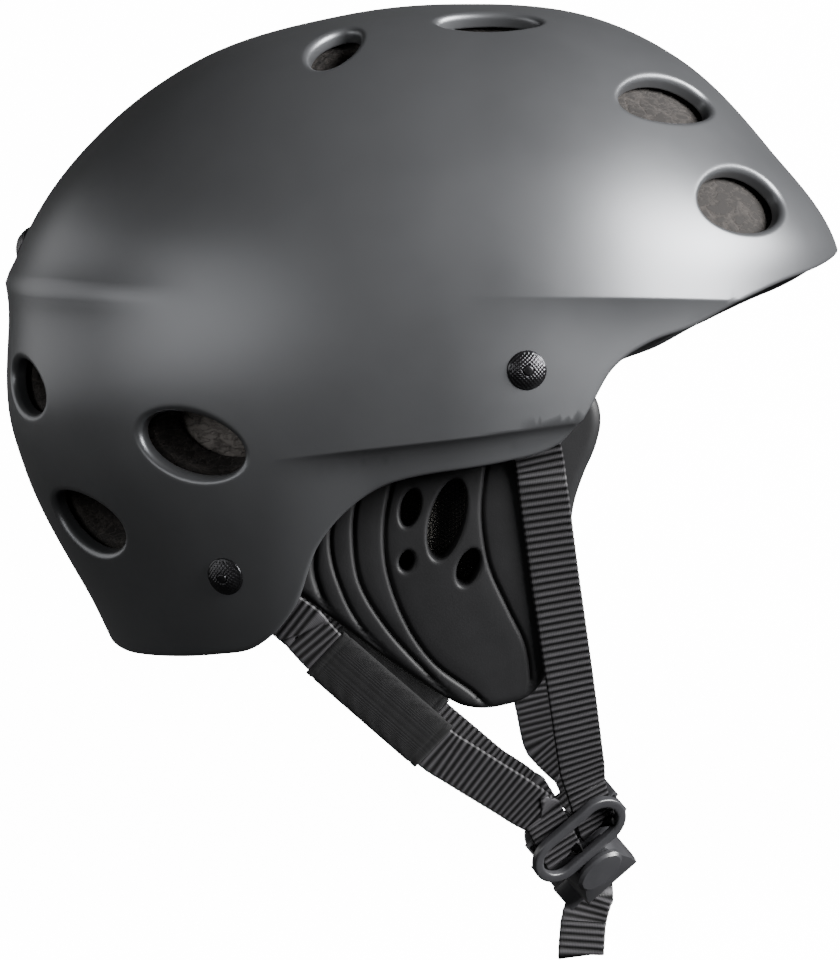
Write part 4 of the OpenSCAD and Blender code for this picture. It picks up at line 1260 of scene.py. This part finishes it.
def makeRings(finish):
    # rounded bar section carried round a stadium line in the plane of the webbing
    half, radius = ringPlan["half"], ringPlan["radius"]
    t = np.linspace(-math.pi / 2, math.pi / 2, 40)
    right = np.stack([half + radius * np.cos(t), radius * np.sin(t)], -1)
    left = np.stack([-half - radius * np.cos(t), -radius * np.sin(t)], -1)
    flat = np.linspace(1, -1, 14)[1:-1]
    line = np.concatenate([right, np.stack([flat * half, np.full(12, radius)], -1), left,
                           np.stack([-flat * half, np.full(12, -radius)], -1)])
    outward = np.concatenate([np.stack([np.cos(t), np.sin(t)], -1), np.tile([0.0, 1.0], (12, 1)),
                              np.stack([-np.cos(t), -np.sin(t)], -1), np.tile([0.0, -1.0], (12, 1))])
    k = np.linspace(0, 2 * math.pi, 40, endpoint=False)
    a = ringPlan["barWide"] / 2 * np.sign(np.cos(k)) * np.abs(np.cos(k))**0.5
    b = ringPlan["barThick"] / 2 * np.sign(np.sin(k)) * np.abs(np.sin(k))**0.5
    plan = line[:, None] + outward[:, None] * a[None, :, None]
    height = ringPlan["lift"] + np.broadcast_to(b[None], plan.shape[:2])
    y0, w0 = strapPlan["ringMid"]
    slant = strapPlan["slant"]
    s = strapPlan["ringS"] + plan[..., 0]
    y = y0 - math.cos(slant) * plan[..., 1] + math.sin(slant) * height
    w = w0 + math.sin(slant) * plan[..., 1] + math.cos(slant) * height
    grid = placed(s, y, w)
    rows, columns = grid.shape[:2]
    for sideName, mirror in (("left", 1.0), ("right", -1.0)):
        piece = addPiece(sideName + "GuideRing", (grid * [1, mirror, 1]).reshape(-1, 3),
                         gridFaces(rows, columns, True, True, flip=(mirror < 0)))
        piece.data.materials.append(finish)
        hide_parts(sideName + "_ring")
        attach(piece, sideName + "_straps")


def softened(node, name, body, finish, width):
    # copy of a moulded node with its doubles merged and its edges rounded
    source = bpy.data.objects[node] if node in bpy.data.objects else frame["nodes"][node]
    mesh = source.data.copy()
    mesh.name = name
    mesh.materials.clear()
    mesh.materials.append(finish)
    piece = bpy.data.objects.new(name, mesh)
    bpy.context.scene.collection.objects.link(piece)
    weld = piece.modifiers.new("merge", "WELD")
    weld.merge_threshold = 0.00002
    flat = piece.modifiers.new("joinFlats", "DECIMATE")
    flat.decimate_type, flat.angle_limit = "DISSOLVE", math.radians(2)
    bevel = piece.modifiers.new("roundEdges", "BEVEL")
    bevel.width, bevel.segments, bevel.limit_method, bevel.angle_limit = width * mm, 3, "ANGLE", math.radians(28)
    bevel.harden_normals = False
    bpy.context.view_layer.update()
    done = bpy.data.meshes.new_from_object(piece.evaluated_get(bpy.context.evaluated_depsgraph_get()))
    piece.modifiers.clear()
    piece.data = done
    done.polygons.foreach_set("use_smooth", np.full(len(done.polygons), True))
    done.set_sharp_from_angle(angle=math.radians(38))
    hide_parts(node)
    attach(piece, body)
    return piece


def makeBuckle(finish):
    softened("buckle_socket", "socketShell", "right_straps", finish, 0.7)
    softened("buckle_plug", "plugShell", "left_straps", finish, 0.45)
    softened("left_link", "linkPlate", "left_straps", finish, 0.5)
    softened("plug_prong_front", "prongFront", "left_straps", finish, 0.4)
    softened("plug_prong_rear", "prongRear", "left_straps", finish, 0.4)
    print("buckle")


def finishWashers():
    f = Finish("washerMetal")
    turned = f.noise(700.0, 2.0, 0.5)
    f.set(Base_Color=f.mix(turned, (0.5, 0.5, 0.5), (0.65, 0.65, 0.65)), Metallic=1.0, Roughness=turned * 0.2 + 0.25)
    for name in frame["nodes"]:
        if name.endswith("_washer"):
            for slot in bpy.data.objects[name].material_slots:
                slot.material = f.material


makeCamera()
makeStudio()
makeShell().data.materials.append(shellFinish())
makeLiner()
makePads()
makeRivets()
cloth = webbingFinish()
makeStraps(cloth)
makeChinWebbing(cloth)
makeSleeves()
makeFlaps()
makeFlapMesh()
plastic = plasticFinish()
makeRings(plastic)
makeBuckle(plastic)
finishWashers()
